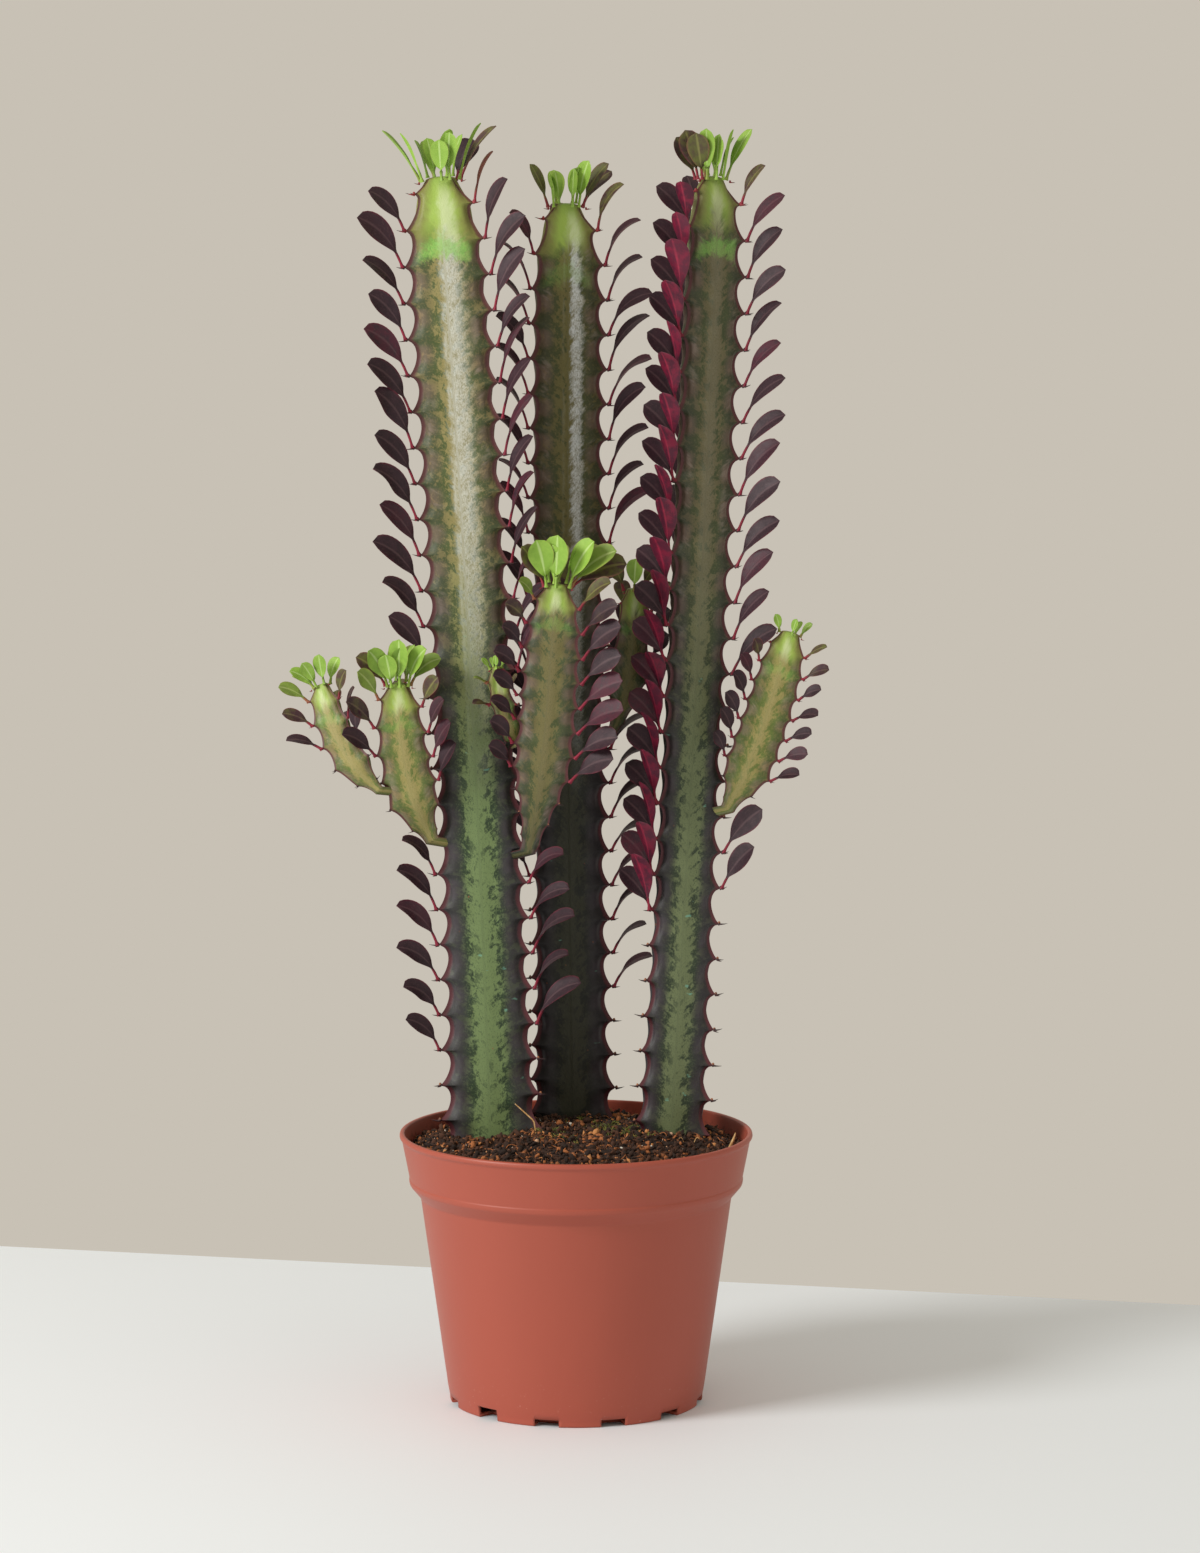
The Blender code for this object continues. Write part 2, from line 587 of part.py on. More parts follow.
class Leaf:
    """One leaf: an arching petiole and blade that leaves a point at one elevation and ends at another."""

    def __init__(self, start, out, up, length, width, lift, turn, widths=LEAF_WIDTHS):
        self.widths = widths
        self.width = width
        self.turn = turn
        self.centres, self.tangents = [Vector(start)], []
        for i in range(LEAF_STEPS + 1):
            share = i / LEAF_STEPS
            elevation = math.radians(lift[0] + (lift[1] - lift[0]) * share**LEAF_BEND)
            tangent = out * math.cos(elevation) + up * math.sin(elevation)
            self.tangents.append(tangent)
            if i:
                step = (self.tangents[-1] + self.tangents[-2]) * (length / LEAF_STEPS / 2)
                self.centres.append(self.centres[-1] + step)
        self.out, self.up = out, up

    def at(self, share):
        """(centre, side direction, upper face's normal) at this share of its length."""
        place = share * LEAF_STEPS
        low = min(LEAF_STEPS - 1, int(place))
        part = place - low
        centre = self.centres[low].lerp(self.centres[low + 1], part)
        tangent = self.tangents[low].lerp(self.tangents[low + 1], part).normalized()
        inward = self.up.cross(self.out).cross(tangent).normalized()
        if inward.dot(self.up - self.out) < 0:
            inward.negate()
        to_light = LIGHT - tangent * LIGHT.dot(tangent)
        turn = self.turn * smooth_step(share / LEAF_TURNED_BY)
        normal = (inward * (1 - turn) + to_light.normalized() * turn).normalized()
        return centre, normal.cross(tangent).normalized(), normal

    def section(self, share, width):
        """Four points: the blade's lower and upper side at each edge, which rise above the midrib."""
        centre, side, normal = self.at(share)
        raised = centre + normal * (LEAF_FOLD * width)
        half = LEAF_THICKNESS / 2
        left, right = raised - side * (width / 2), raised + side * (width / 2)
        return [left - normal * half, right - normal * half, right + normal * half, left + normal * half]

    def rings(self):
        return [
            self.section(share, max(LEAF_PETIOLE, self.width * part))
            for share, part in zip(LEAF_STATIONS, self.widths)
        ]

    def tree(self):
        """The leaf without its foot, for finding what it meets."""
        rings = [self.section(LEAF_TESTED_FROM, LEAF_PETIOLE), *self.rings()]
        points = [p for ring in rings for p in ring]
        return BVHTree.FromPolygons(points, tube_faces(len(rings), 4))


class Space:
    """What a new leaf has to keep clear of."""

    def __init__(self):
        self.taken = []

    def add(self, points, faces):
        self.taken.append(BVHTree.FromPolygons([Vector(p) for p in points], faces))

    def place(self, make_leaf):
        """The first of the leaf's allowed poses that meets nothing, or None."""
        for steeper, aside, size in LEAF_MOVES:
            leaf = make_leaf(steeper, aside, size)
            tree = leaf.tree()
            if not any(tree.overlap(other) for other in self.taken):
                self.taken.append(tree)
                return leaf
        return None


def row_teeth(stalk, rib, low, high):
    """The longest run of a rib's teeth between two heights that no branch interrupts, top one first."""
    runs = [[]]
    for index in range(stalk.teeth_down()):
        distance = stalk.tooth_at(rib, index)
        crest = stalk.point(distance, stalk.rib_angle(rib, distance), stalk.reach(distance))
        if any(at == rib and abs(distance - place) < room for at, place, room in stalk.necks):
            runs.append([])
        elif low <= crest.z <= high:
            runs[-1].append(index)
    return max(runs, key=len)


def margin_rings(stalk, rib, teeth):
    """Rings of the margin, and for each tooth the ring above it."""
    rings, above = [], {}
    for index in teeth:
        tooth = stalk.tooth_at(rib, index)
        above[index] = len(rings)
        levels = [(tooth - TOOTH_HALF, 0.0), (tooth + TOOTH_HALF, 0.0)]
        if index != teeth[-1]:
            notch = tooth + NOTCH_AT * stalk.pitch
            levels.append((notch, stalk.depth(notch)))
        for distance, inset in levels:
            azimuth = stalk.rib_angle(rib, distance)
            crest = stalk.reach(tooth if not inset else distance) - inset
            out = stalk.out(distance, azimuth)
            across = stalk.frame(distance)[1].cross(out)
            inner = stalk.point(distance, azimuth, crest - MARGIN + GAP)
            outer = stalk.point(distance, azimuth, crest)
            rings.append(
                [inner, outer - across * MARGIN_HALF_WIDTH, outer + across * MARGIN_HALF_WIDTH]
            )
    return rings, above


def leaf_maker(stalk, rib, index, row, rng):
    """A function that makes the leaf of one tooth, given how far it has to move out of the way."""
    _, _, _, _, _, length, width, lift_from, lift_to, turn = row
    distance = stalk.tooth_at(rib, index)
    azimuth = stalk.rib_angle(rib, distance)
    start = stalk.point(distance, azimuth, stalk.reach(distance))
    young = YOUNG_SHARE[index] if index < YOUNG_TEETH else 1.0
    size = young * (1 + rng.uniform(-LENGTH_SPREAD, LENGTH_SPREAD))
    lift = rng.uniform(-LIFT_SPREAD, LIFT_SPREAD) + YOUNG_LIFT * (1 - young)
    swing = rng.uniform(-SWING_SPREAD, SWING_SPREAD)
    turned = min(1.0, max(0.0, turn + rng.uniform(-TURN_SPREAD, TURN_SPREAD)))
    up = stalk.frame(distance)[1]

    def make(steeper, aside, share):
        out = stalk.out(distance, azimuth + math.radians(swing + aside))
        foot_lift = min(LEAF_STEEPEST, lift_from + lift / 2 + steeper)
        angles = (foot_lift, lift_to + lift + LEAF_END_MOVE * steeper)
        return Leaf(start, out, up, length * size * share, width * size, angles, turned)

    return make


def row_name(row):
    stem, rib, part = row[:3]
    return "_".join(filter(None, (stem, rib, "leaves", part)))


def make_row(row, stalk, leaves, parent):
    """One rib's margin with its leaves growing out of it, as one solid."""
    rib = stalk.spec["ribs"].index(row[1])
    teeth = sorted(leaves)
    rings, above = margin_rings(stalk, rib, teeth)
    points = [p for ring in rings for p in ring]
    faces = tube_faces(len(rings), 3)
    for index in teeth:
        if leaves[index] is None:
            continue
        high = above[index] * 3
        low = high + 3
        base = [low + 1, low + 2, high + 2, high + 1]
        faces = [f for f in faces if set(f) != set(base)]
        for section in leaves[index].rings():
            tip = len(points)
            points += section
            for i in range(4):
                j = (i + 1) % 4
                faces.append((base[i], base[j], tip + j, tip + i))
            base = [tip, tip + 1, tip + 2, tip + 3]
        faces.append(tuple(base))
    return add_object(row_name(row), points, faces, "leaf_red", parent, origin=rings[-1][0])


def make_crown(stalk, space, parent):
    """The upright young leaves at a growing tip, each a solid of its own."""
    count, length, width, first = CROWNS[stalk.name]
    rng = random.Random("crown " + stalk.name)
    centre, up, _ = stalk.frame(0.0)
    for i in range(count):
        swing = rng.uniform(-CROWN_AZIMUTH_SPREAD, CROWN_AZIMUTH_SPREAD)
        azimuth = math.radians(first + 360 * i / count + swing)
        drop = CROWN_SIZE_DROP * i / max(1, count - 1)
        size = 1 - drop + rng.uniform(-CROWN_SIZE_SPREAD, CROWN_SIZE_SPREAD)
        tilt = rng.uniform(-CROWN_TILT_SPREAD, CROWN_TILT_SPREAD)
        start = centre + stalk.out(0.0, azimuth) * (stalk.reach(0.0) * CROWN_SPREAD) + up * (2 * GAP)

        def make(steeper, aside, share, azimuth=azimuth, size=size, tilt=tilt, start=start):
            out = stalk.out(0.0, azimuth + math.radians(aside))
            lift = (min(CROWN_STEEPEST, CROWN_LIFT[0] + steeper / 2), CROWN_LIFT[1] + tilt + steeper)
            foot = start + up * MARGIN / 2
            long, wide = length * size * share, width * size
            return Leaf(foot, out, up, long, wide, lift, CROWN_TURN, YOUNG_LEAF_WIDTHS)

        leaf = space.place(make)
        if leaf is None:
            continue
        foot = leaf.section(0.0, LEAF_PETIOLE)
        points = [p for ring in (foot, *leaf.rings()) for p in ring]
        faces = tube_faces(1 + len(LEAF_STATIONS), 4)
        name = f"{stalk.name}_crown_leaf_{i + 1}"
        add_object(name, points, faces, "leaf_green", parent, origin=start)


def main():
    clear_scene()
    plant = bpy.data.objects.new("euphorbia", None)
    bpy.context.scene.collection.objects.link(plant)
    stalks = make_stalks()
    space = Space()
    for stalk in stalks.values():
        points, faces = stalk.body()
        finish = "stem_skin" if stalk.buried else "young_stem_skin"
        add_object(stalk.name, points, faces, finish, plant, origin=stalk.axis[-1])
        space.add(points, faces)
    make_pot(plant)
    make_soil(plant, stalks.values())
    for name in CROWNS:
        make_crown(stalks[name], space, plant)
    plans = []
    for row in LEAF_ROWS:
        stalk = stalks[row[0]]
        rib = stalk.spec["ribs"].index(row[1])
        teeth = row_teeth(stalk, rib, row[3], row[4])
        rings, _ = margin_rings(stalk, rib, teeth)
        plans.append((row, stalk, rib, teeth))
        space.add([p for ring in rings for p in ring], tube_faces(len(rings), 3))
    for row, stalk, rib, teeth in plans:
        rng = random.Random(row_name(row))
        leaves = {}
        for index in teeth:
            leaves[index] = space.place(leaf_maker(stalk, rib, index, row, rng))
        make_row(row, stalk, leaves, plant)


main()
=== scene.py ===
"""A potted three-ribbed euphorbia in its red-leaved form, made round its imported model.

Metres, +Z up, in the model's own frame: the origin is the centre of the pot's underside, +X is the
plant's right and -Y its front. The stems and leaves follow the same design as the model's solids.
"""

import json
import math
import random

import bmesh
import bpy
import numpy as np
from bpy.props import FloatProperty, FloatVectorProperty, IntProperty, PointerProperty
from mathutils import Matrix, Vector, noise
from mathutils.bvhtree import BVHTree

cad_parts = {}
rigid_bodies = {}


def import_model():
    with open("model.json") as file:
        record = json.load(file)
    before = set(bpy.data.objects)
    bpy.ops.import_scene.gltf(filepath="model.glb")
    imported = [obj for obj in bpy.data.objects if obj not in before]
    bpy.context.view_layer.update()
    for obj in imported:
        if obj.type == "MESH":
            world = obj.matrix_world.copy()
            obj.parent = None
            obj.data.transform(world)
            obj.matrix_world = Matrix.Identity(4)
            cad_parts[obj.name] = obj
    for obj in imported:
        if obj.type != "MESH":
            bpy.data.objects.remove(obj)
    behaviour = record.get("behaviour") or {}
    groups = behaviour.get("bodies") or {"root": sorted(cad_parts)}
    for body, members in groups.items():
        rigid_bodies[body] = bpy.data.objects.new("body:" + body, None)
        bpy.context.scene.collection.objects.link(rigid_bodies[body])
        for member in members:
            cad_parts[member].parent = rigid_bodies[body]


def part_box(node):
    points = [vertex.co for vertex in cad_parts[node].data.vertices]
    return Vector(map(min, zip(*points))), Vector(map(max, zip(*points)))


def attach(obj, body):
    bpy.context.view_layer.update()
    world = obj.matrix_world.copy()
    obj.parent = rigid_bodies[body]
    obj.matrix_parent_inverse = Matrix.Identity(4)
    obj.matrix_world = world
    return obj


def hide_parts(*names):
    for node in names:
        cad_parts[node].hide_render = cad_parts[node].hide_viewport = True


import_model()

bl_info = {
    "name": "Potted Euphorbia",
    "version": (1, 0, 0),
    "blender": (4, 5, 0),
    "location": "View3D > Sidebar > Euphorbia",
    "description": "Builds a potted three-ribbed euphorbia with its leaves, thorns, soil and pot",
    "category": "Add Mesh",
}

BODY = "root"

# The design that the model's solids follow. First, the shape that every ribbed stem shares.
GAP = 0.0003
RIBS = 3
TOOTH_PHASE = (1 / 3, 2 / 3, 0.0)  # the ribs' teeth follow one spiral
FIRST_TOOTH = 0.0055  # below the growing tip
NOTCH_AT = 0.36  # share of the pitch below a tooth where the solid's notch is deepest
FLANK_ANGLE = math.radians(25.0)  # from a rib's crest to the foot of its flank
FLANK_SHARE = 0.655
CROWN_SHARE = 0.44  # reach at the growing tip
CROWN_LENGTH = 0.70  # how fast the tip widens, in shares of the reach
NECK_SHARE = 0.30  # reach where a branch leaves its rib
NECK_ROOM = 0.003  # length of crest beside a neck that bears no tooth's leaf
NECK_BARE = 0.3  # share of a branch's neck that bears no tooth
NECK_COLLAR = 0.12  # share of a branch's neck that is plain
FOOT_FLARE = 0.06  # how fast a main stem widens towards the soil
AXIS_SAMPLES = 96
SEARCH_STEPS = 40
BURIED = 0.035
COLLAR_ABOVE_SOIL = 0.005
TOOTH_ABOVE_SOIL = 0.009

# The horny margin along a rib's crest, which carries the leaves
MARGIN = 0.0013
MARGIN_HALF_WIDTH = 0.0006
TOOTH_HALF = 0.0007

# Leaves
LEAF_THICKNESS = 0.0008
LEAF_PETIOLE = 0.0011
LEAF_STATIONS = (0.24, 0.68, 1.0)
LEAF_WIDTHS = (0.18, 1.0, 0.5)  # share of the blade's width at each station
YOUNG_LEAF_WIDTHS = (0.55, 1.0, 0.45)  # the same on a leaf that is still growing
LEAF_FOLD = 0.16  # how far the blade's edges rise above its midrib, as a share of its width
LEAF_TESTED_FROM = 0.14
LEAF_STEPS = 12
LEAF_BEND = 1.25  # above 1, a leaf bends more towards its end
LEAF_TURNED_BY = 0.45  # share of its length by which a leaf has turned to the light
LEAF_STEEPEST = 86  # elevation at a leaf's foot, in degrees
LIGHT = Vector((-0.25, -0.85, 0.46))  # the window that the leaves turn to
# What a leaf that meets a neighbour tries in turn: steeper by, swung aside by, share of its length.
# Its end rises by more than its foot.
LEAF_END_MOVE = 1.6
LEAF_MOVES = (
    (0, 0, 1.0),
    (8, 0, 1.0),
    (0, 14, 1.0),
    (0, -14, 1.0),
    (14, 0, 0.9),
    (6, 28, 0.9),
    (6, -28, 0.9),
    (18, 0, 0.75),
    (10, 40, 0.75),
    (10, -40, 0.75),
    (20, 0, 0.6),
)

# Main stems. foot is the axis at the soil, in shares of the pot's rim radius, and tip its upper end;
# bow is how far the middle stands off the straight line; rib is the azimuth of the first rib at the
# foot, and twist turns the ribs by that much at the tip.
MAIN_STEMS = {
    "left_stem": dict(
        foot=(-0.4636, 0.1325), tip=(-0.0567, 0.010, 0.5190), bow=(0.0026, 0, 0),
        reach=0.0222, foot_reach=0.0262, rib=-30, twist=0, pitch=0.0151, tooth=0.0050,
        ribs=("right", "back", "left"),
    ),
    "middle_stem": dict(
        foot=(-0.0199, 0.5563), tip=(-0.0046, 0.042, 0.5085), bow=(-0.0012, 0, 0),
        reach=0.0202, foot_reach=0.0228, rib=-26, twist=6, pitch=0.0148, tooth=0.0046,
        ribs=("right", "back", "left"),
    ),
    "right_stem": dict(
        foot=(0.5139, 0.1325), tip=(0.0568, 0.012, 0.5195), bow=(0.0012, 0, 0),
        reach=0.0172, foot_reach=0.0196, rib=-30, twist=24, pitch=0.0152, tooth=0.0045,
        ribs=("right", "back", "front"),
    ),
}

# Branches. height is where the neck leaves the parent's rib; reach_out is from the neck to the tip,
# and lift is the middle control point of its curve, counted from the neck.
BRANCHES = {
    "inner_left_branch": dict(
        parent="left_stem", parent_rib="left", height=0.2415,
        reach_out=(-0.0140, -0.0060, 0.0665), lift=(-0.0130, -0.0030, 0.0230),
        reach=0.0142, neck=0.023, rib=-28, twist=0, pitch=0.0112, tooth=0.0030,
        ribs=("right", "back", "left"),
    ),
    "outer_left_branch": dict(
        parent="inner_left_branch", parent_rib="left", height=0.2640,
        reach_out=(-0.0250, 0.0120, 0.0430), lift=(-0.0160, 0.0040, 0.0130),
        reach=0.0098, neck=0.016, rib=-50, twist=0, pitch=0.0098, tooth=0.0023,
        ribs=("front", "back", "left"),
    ),
    "front_bud": dict(
        parent="left_stem", parent_rib="right", height=0.2830,
        reach_out=(-0.0110, -0.0150, 0.0330), lift=(-0.0080, -0.0150, 0.0060),
        reach=0.0066, neck=0.013, rib=-20, twist=0, pitch=0.0085, tooth=0.0018,
        ribs=("right", "back", "left"),
    ),
    "centre_branch": dict(
        parent="left_stem", parent_rib="right", height=0.2370,
        reach_out=(0.0125, -0.0130, 0.1130), lift=(0.0085, -0.0120, 0.0330),
        reach=0.0156, neck=0.044, rib=-34, twist=0, pitch=0.0102, tooth=0.0030,
        ribs=("right", "back", "left"),
    ),
    "rear_branch": dict(
        parent="middle_stem", parent_rib="right", height=0.2840,
        reach_out=(0.0090, -0.0130, 0.0620), lift=(0.0080, -0.0110, 0.0200),
        reach=0.0100, neck=0.026, rib=-15, twist=0, pitch=0.0100, tooth=0.0021,
        ribs=("right", "back", "left"),
    ),
    "right_branch": dict(
        parent="right_stem", parent_rib="right", height=0.2540,
        reach_out=(0.0265, 0.0020, 0.0745), lift=(0.0125, 0.0010, 0.0200),
        reach=0.0128, neck=0.020, rib=-30, twist=0, pitch=0.0088, tooth=0.0022,
        ribs=("right", "back", "left"),
    ),
}

# Leaf rows: stem, rib, part of the rib, lowest and highest tooth, the leaves' length and width, the
# elevation that they leave at and end at, and how far they turn their faces to the light (0 to 1)
LEAF_ROWS = (
    ("left_stem", "left", "upper", 0.315, 0.512, 0.0300, 0.0104, 74, 22, 0.78),
    ("left_stem", "left", "lower", 0.128, 0.236, 0.0250, 0.0090, 72, 8, 0.72),
    ("left_stem", "right", "upper", 0.306, 0.512, 0.0290, 0.0102, 76, 30, 0.60),
    ("left_stem", "right", "lower", 0.158, 0.228, 0.0275, 0.0094, 68, 2, 0.62),
    ("left_stem", "back", "", 0.190, 0.512, 0.0285, 0.0098, 72, 20, 0.0),
    ("middle_stem", "left", "", 0.215, 0.502, 0.0260, 0.0094, 76, 20, 0.50),
    ("middle_stem", "right", "upper", 0.352, 0.502, 0.0290, 0.0096, 78, 10, 0.55),
    ("middle_stem", "right", "lower", 0.158, 0.278, 0.0230, 0.0080, 70, 6, 0.35),
    ("middle_stem", "back", "", 0.180, 0.502, 0.0270, 0.0094, 72, 20, 0.0),
    ("right_stem", "right", "upper", 0.296, 0.513, 0.0275, 0.0100, 72, 24, 0.76),
    ("right_stem", "right", "lower", 0.206, 0.246, 0.0260, 0.0112, 66, 34, 0.85),
    ("right_stem", "front", "", 0.196, 0.513, 0.0250, 0.0112, 80, 52, 0.0),
    ("right_stem", "back", "", 0.215, 0.513, 0.0270, 0.0102, 74, 34, 0.45),
    ("inner_left_branch", "right", "", 0.250, 0.306, 0.0200, 0.0100, 62, 26, 0.85),
    ("inner_left_branch", "left", "", 0.250, 0.306, 0.0190, 0.0094, 62, 20, 0.80),
    ("inner_left_branch", "back", "", 0.256, 0.306, 0.0195, 0.0092, 66, 30, 0.30),
    ("outer_left_branch", "left", "", 0.266, 0.310, 0.0170, 0.0080, 58, 10, 0.80),
    ("outer_left_branch", "front", "", 0.268, 0.310, 0.0160, 0.0076, 62, 18, 0.70),
    ("outer_left_branch", "back", "", 0.268, 0.310, 0.0170, 0.0078, 64, 24, 0.20),
    ("front_bud", "right", "", 0.292, 0.316, 0.0085, 0.0034, 50, 10, 0.60),
    ("front_bud", "left", "", 0.292, 0.316, 0.0095, 0.0036, 40, 8, 0.60),
    ("centre_branch", "right", "", 0.262, 0.348, 0.0245, 0.0110, 56, 14, 0.90),
    ("centre_branch", "left", "", 0.262, 0.348, 0.0150, 0.0085, 60, 10, 0.75),
    ("centre_branch", "back", "", 0.266, 0.348, 0.0225, 0.0100, 66, 26, 0.30),
    ("rear_branch", "right", "", 0.300, 0.344, 0.0215, 0.0098, 52, 10, 0.88),
    ("rear_branch", "back", "", 0.300, 0.344, 0.0195, 0.0088, 62, 24, 0.30),
    ("right_branch", "right", "", 0.256, 0.330, 0.0130, 0.0064, 50, 8, 0.78),
    ("right_branch", "left", "", 0.262, 0.330, 0.0135, 0.0068, 62, 26, 0.75),
    ("right_branch", "back", "", 0.262, 0.330, 0.0130, 0.0060, 60, 20, 0.20),
)
YOUNG_TEETH = 3  # this many teeth under the tip bear leaves that are still growing
YOUNG_SHARE = (0.80, 0.90, 0.96)
YOUNG_LIFT = 50.0  # how much steeper a growing leaf stands, in degrees for its missing share
LENGTH_SPREAD = 0.10
LIFT_SPREAD = 7.0
SWING_SPREAD = 10.0
TURN_SPREAD = 0.16

# A branch's visual root goes into its parent, from just below its neck
ROOT_DROP = 0.004
ROOT_DEPTH = 0.25  # share of the parent's reach at which it ends

# The upright young leaves in the middle of a growing tip: how many, their length and width, and the
# azimuth of the first one
CROWNS = {
    "left_stem": (4, 0.0195, 0.0074, -70),
    "middle_stem": (4, 0.0165, 0.0062, -60),
    "right_stem": (4, 0.0180, 0.0068, -115),
    "inner_left_branch": (4, 0.0165, 0.0078, -80),
    "centre_branch": (4, 0.0175, 0.0080, -100),
}
CROWN_LIFT = (84, 62)
CROWN_TURN = 0.15
CROWN_STEEPEST = 88
CROWN_SPREAD = 0.55  # share of the tip's reach at which these leaves stand
CROWN_AZIMUTH_SPREAD = 15
CROWN_TILT_SPREAD = 5
CROWN_SIZE_DROP = 0.16  # how much smaller the last of them is
CROWN_SIZE_SPREAD = 0.04

# The pot and the soil
SOIL_BELOW_RIM = 0.008
SOIL_HEAP = 0.0072  # how far the middle stands above the edge
POT_WALL = 0.0014
POT_COLLAR_HEIGHT = 0.022
POT_STEP_HEIGHT = 0.0055
POT_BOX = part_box("pot")


def paint(code):
    """A linear colour from its six-figure sRGB code."""
    channels = [int(code[i : i + 2], 16) / 255 for i in (0, 2, 4)]
    return tuple(c / 12.92 if c <= 0.04045 else ((c + 0.055) / 1.055) ** 2.4 for c in channels)


# The looks that a user would change


def colour_setting(name, description, code):
    """A colour property with its default given by a six-figure code."""
    return FloatVectorProperty(
        name=name, description=description, subtype="COLOR", default=paint(code), min=0, max=1
    )


def length_setting(name, description, default):
    """A length property, in metres."""
    return FloatProperty(name=name, description=description, default=default, subtype="DISTANCE")


class PotLook(bpy.types.PropertyGroup):
    segments: IntProperty(
        name="Segments", description="Facets round the pot", default=240, min=48, max=480
    )
    fillet: length_setting("Fillet", "Radius of the moulded corners", 0.0008)
    plastic: colour_setting("Plastic", "Colour of the moulded wall", "A54E3C")
    stain: colour_setting("Stain", "Colour of the soil marks above the soil", "4A2C1E")


class SoilLook(bpy.types.PropertyGroup):
    crumbs: IntProperty(name="Crumbs", description="How many loose crumbs lie on top", default=7600)
    fibres: IntProperty(name="Fibres", description="How many coir fibres lie on top", default=420)
    roughness_height: length_setting("Unevenness", "Height of the lumps in the surface", 0.0016)
    dark: colour_setting("Peat", "Colour of the moist peat", "26170F")
    coir: colour_setting("Coir", "Colour of the coir bits", "A8673A")
    moss: colour_setting("Moss", "Colour of the moss", "7C7A34")


class StemLook(bpy.types.PropertyGroup):
    ring_step: length_setting("Ring step", "Distance between the skin's rings", 0.00075)
    columns: IntProperty(name="Columns", description="Skin columns on each rib", default=30)
    swell: length_setting("Swell", "How far the flank swells below each tooth", 0.0005)
    lime: colour_setting("New growth", "Colour of the growing end", "9DBB50")
    flank: colour_setting("Flank", "Colour beside the ribs' crests", "2B262C")
    margin: colour_setting("Margin", "Colour of the horny edge of a rib", "5A262E")


class LeafLook(bpy.types.PropertyGroup):
    stations: IntProperty(name="Stations", description="Sections along a leaf", default=16)
    upper: colour_setting("Upper side", "Colour of a grown leaf's upper side", "351E28")
    under: colour_setting("Underside", "Colour of a grown leaf's underside", "701430")
    young: colour_setting("Young leaf", "Colour of a new leaf", "8FB347")
    thorn_length: length_setting("Thorn length", "Length of a thorn on a main stem", 0.0034)


class StageLook(bpy.types.PropertyGroup):
    floor: colour_setting("Floor", "Colour of the table", "EAF0F5")
    room: colour_setting("Room", "Colour of the room behind, which also fills the shadows", "C8C1B5")
    key_power: FloatProperty(name="Key light", description="Power of the window light", default=42.0)
    fill: FloatProperty(name="Fill", description="Strength of the room's own light", default=1.0)


def look(name):
    """The group of settings of this name."""
    return getattr(bpy.context.scene, "euphorbia_" + name)


# Materials: sockets that take Python's arithmetic


class Value:
    """A number that varies over a surface. Arithmetic on it adds Math nodes."""

    def __init__(self, shade, socket):
        self.shade = shade
        self.socket = socket

    def __add__(self, other):
        return self.shade.math("ADD", self, other)

    def __sub__(self, other):
        return self.shade.math("SUBTRACT", self, other)

    def __mul__(self, other):
        return self.shade.math("MULTIPLY", self, other)

    def __rsub__(self, other):
        return self.shade.math("SUBTRACT", other, self)

    def __abs__(self):
        return self.shade.math("ABSOLUTE", self)

    __radd__ = __add__
    __rmul__ = __mul__


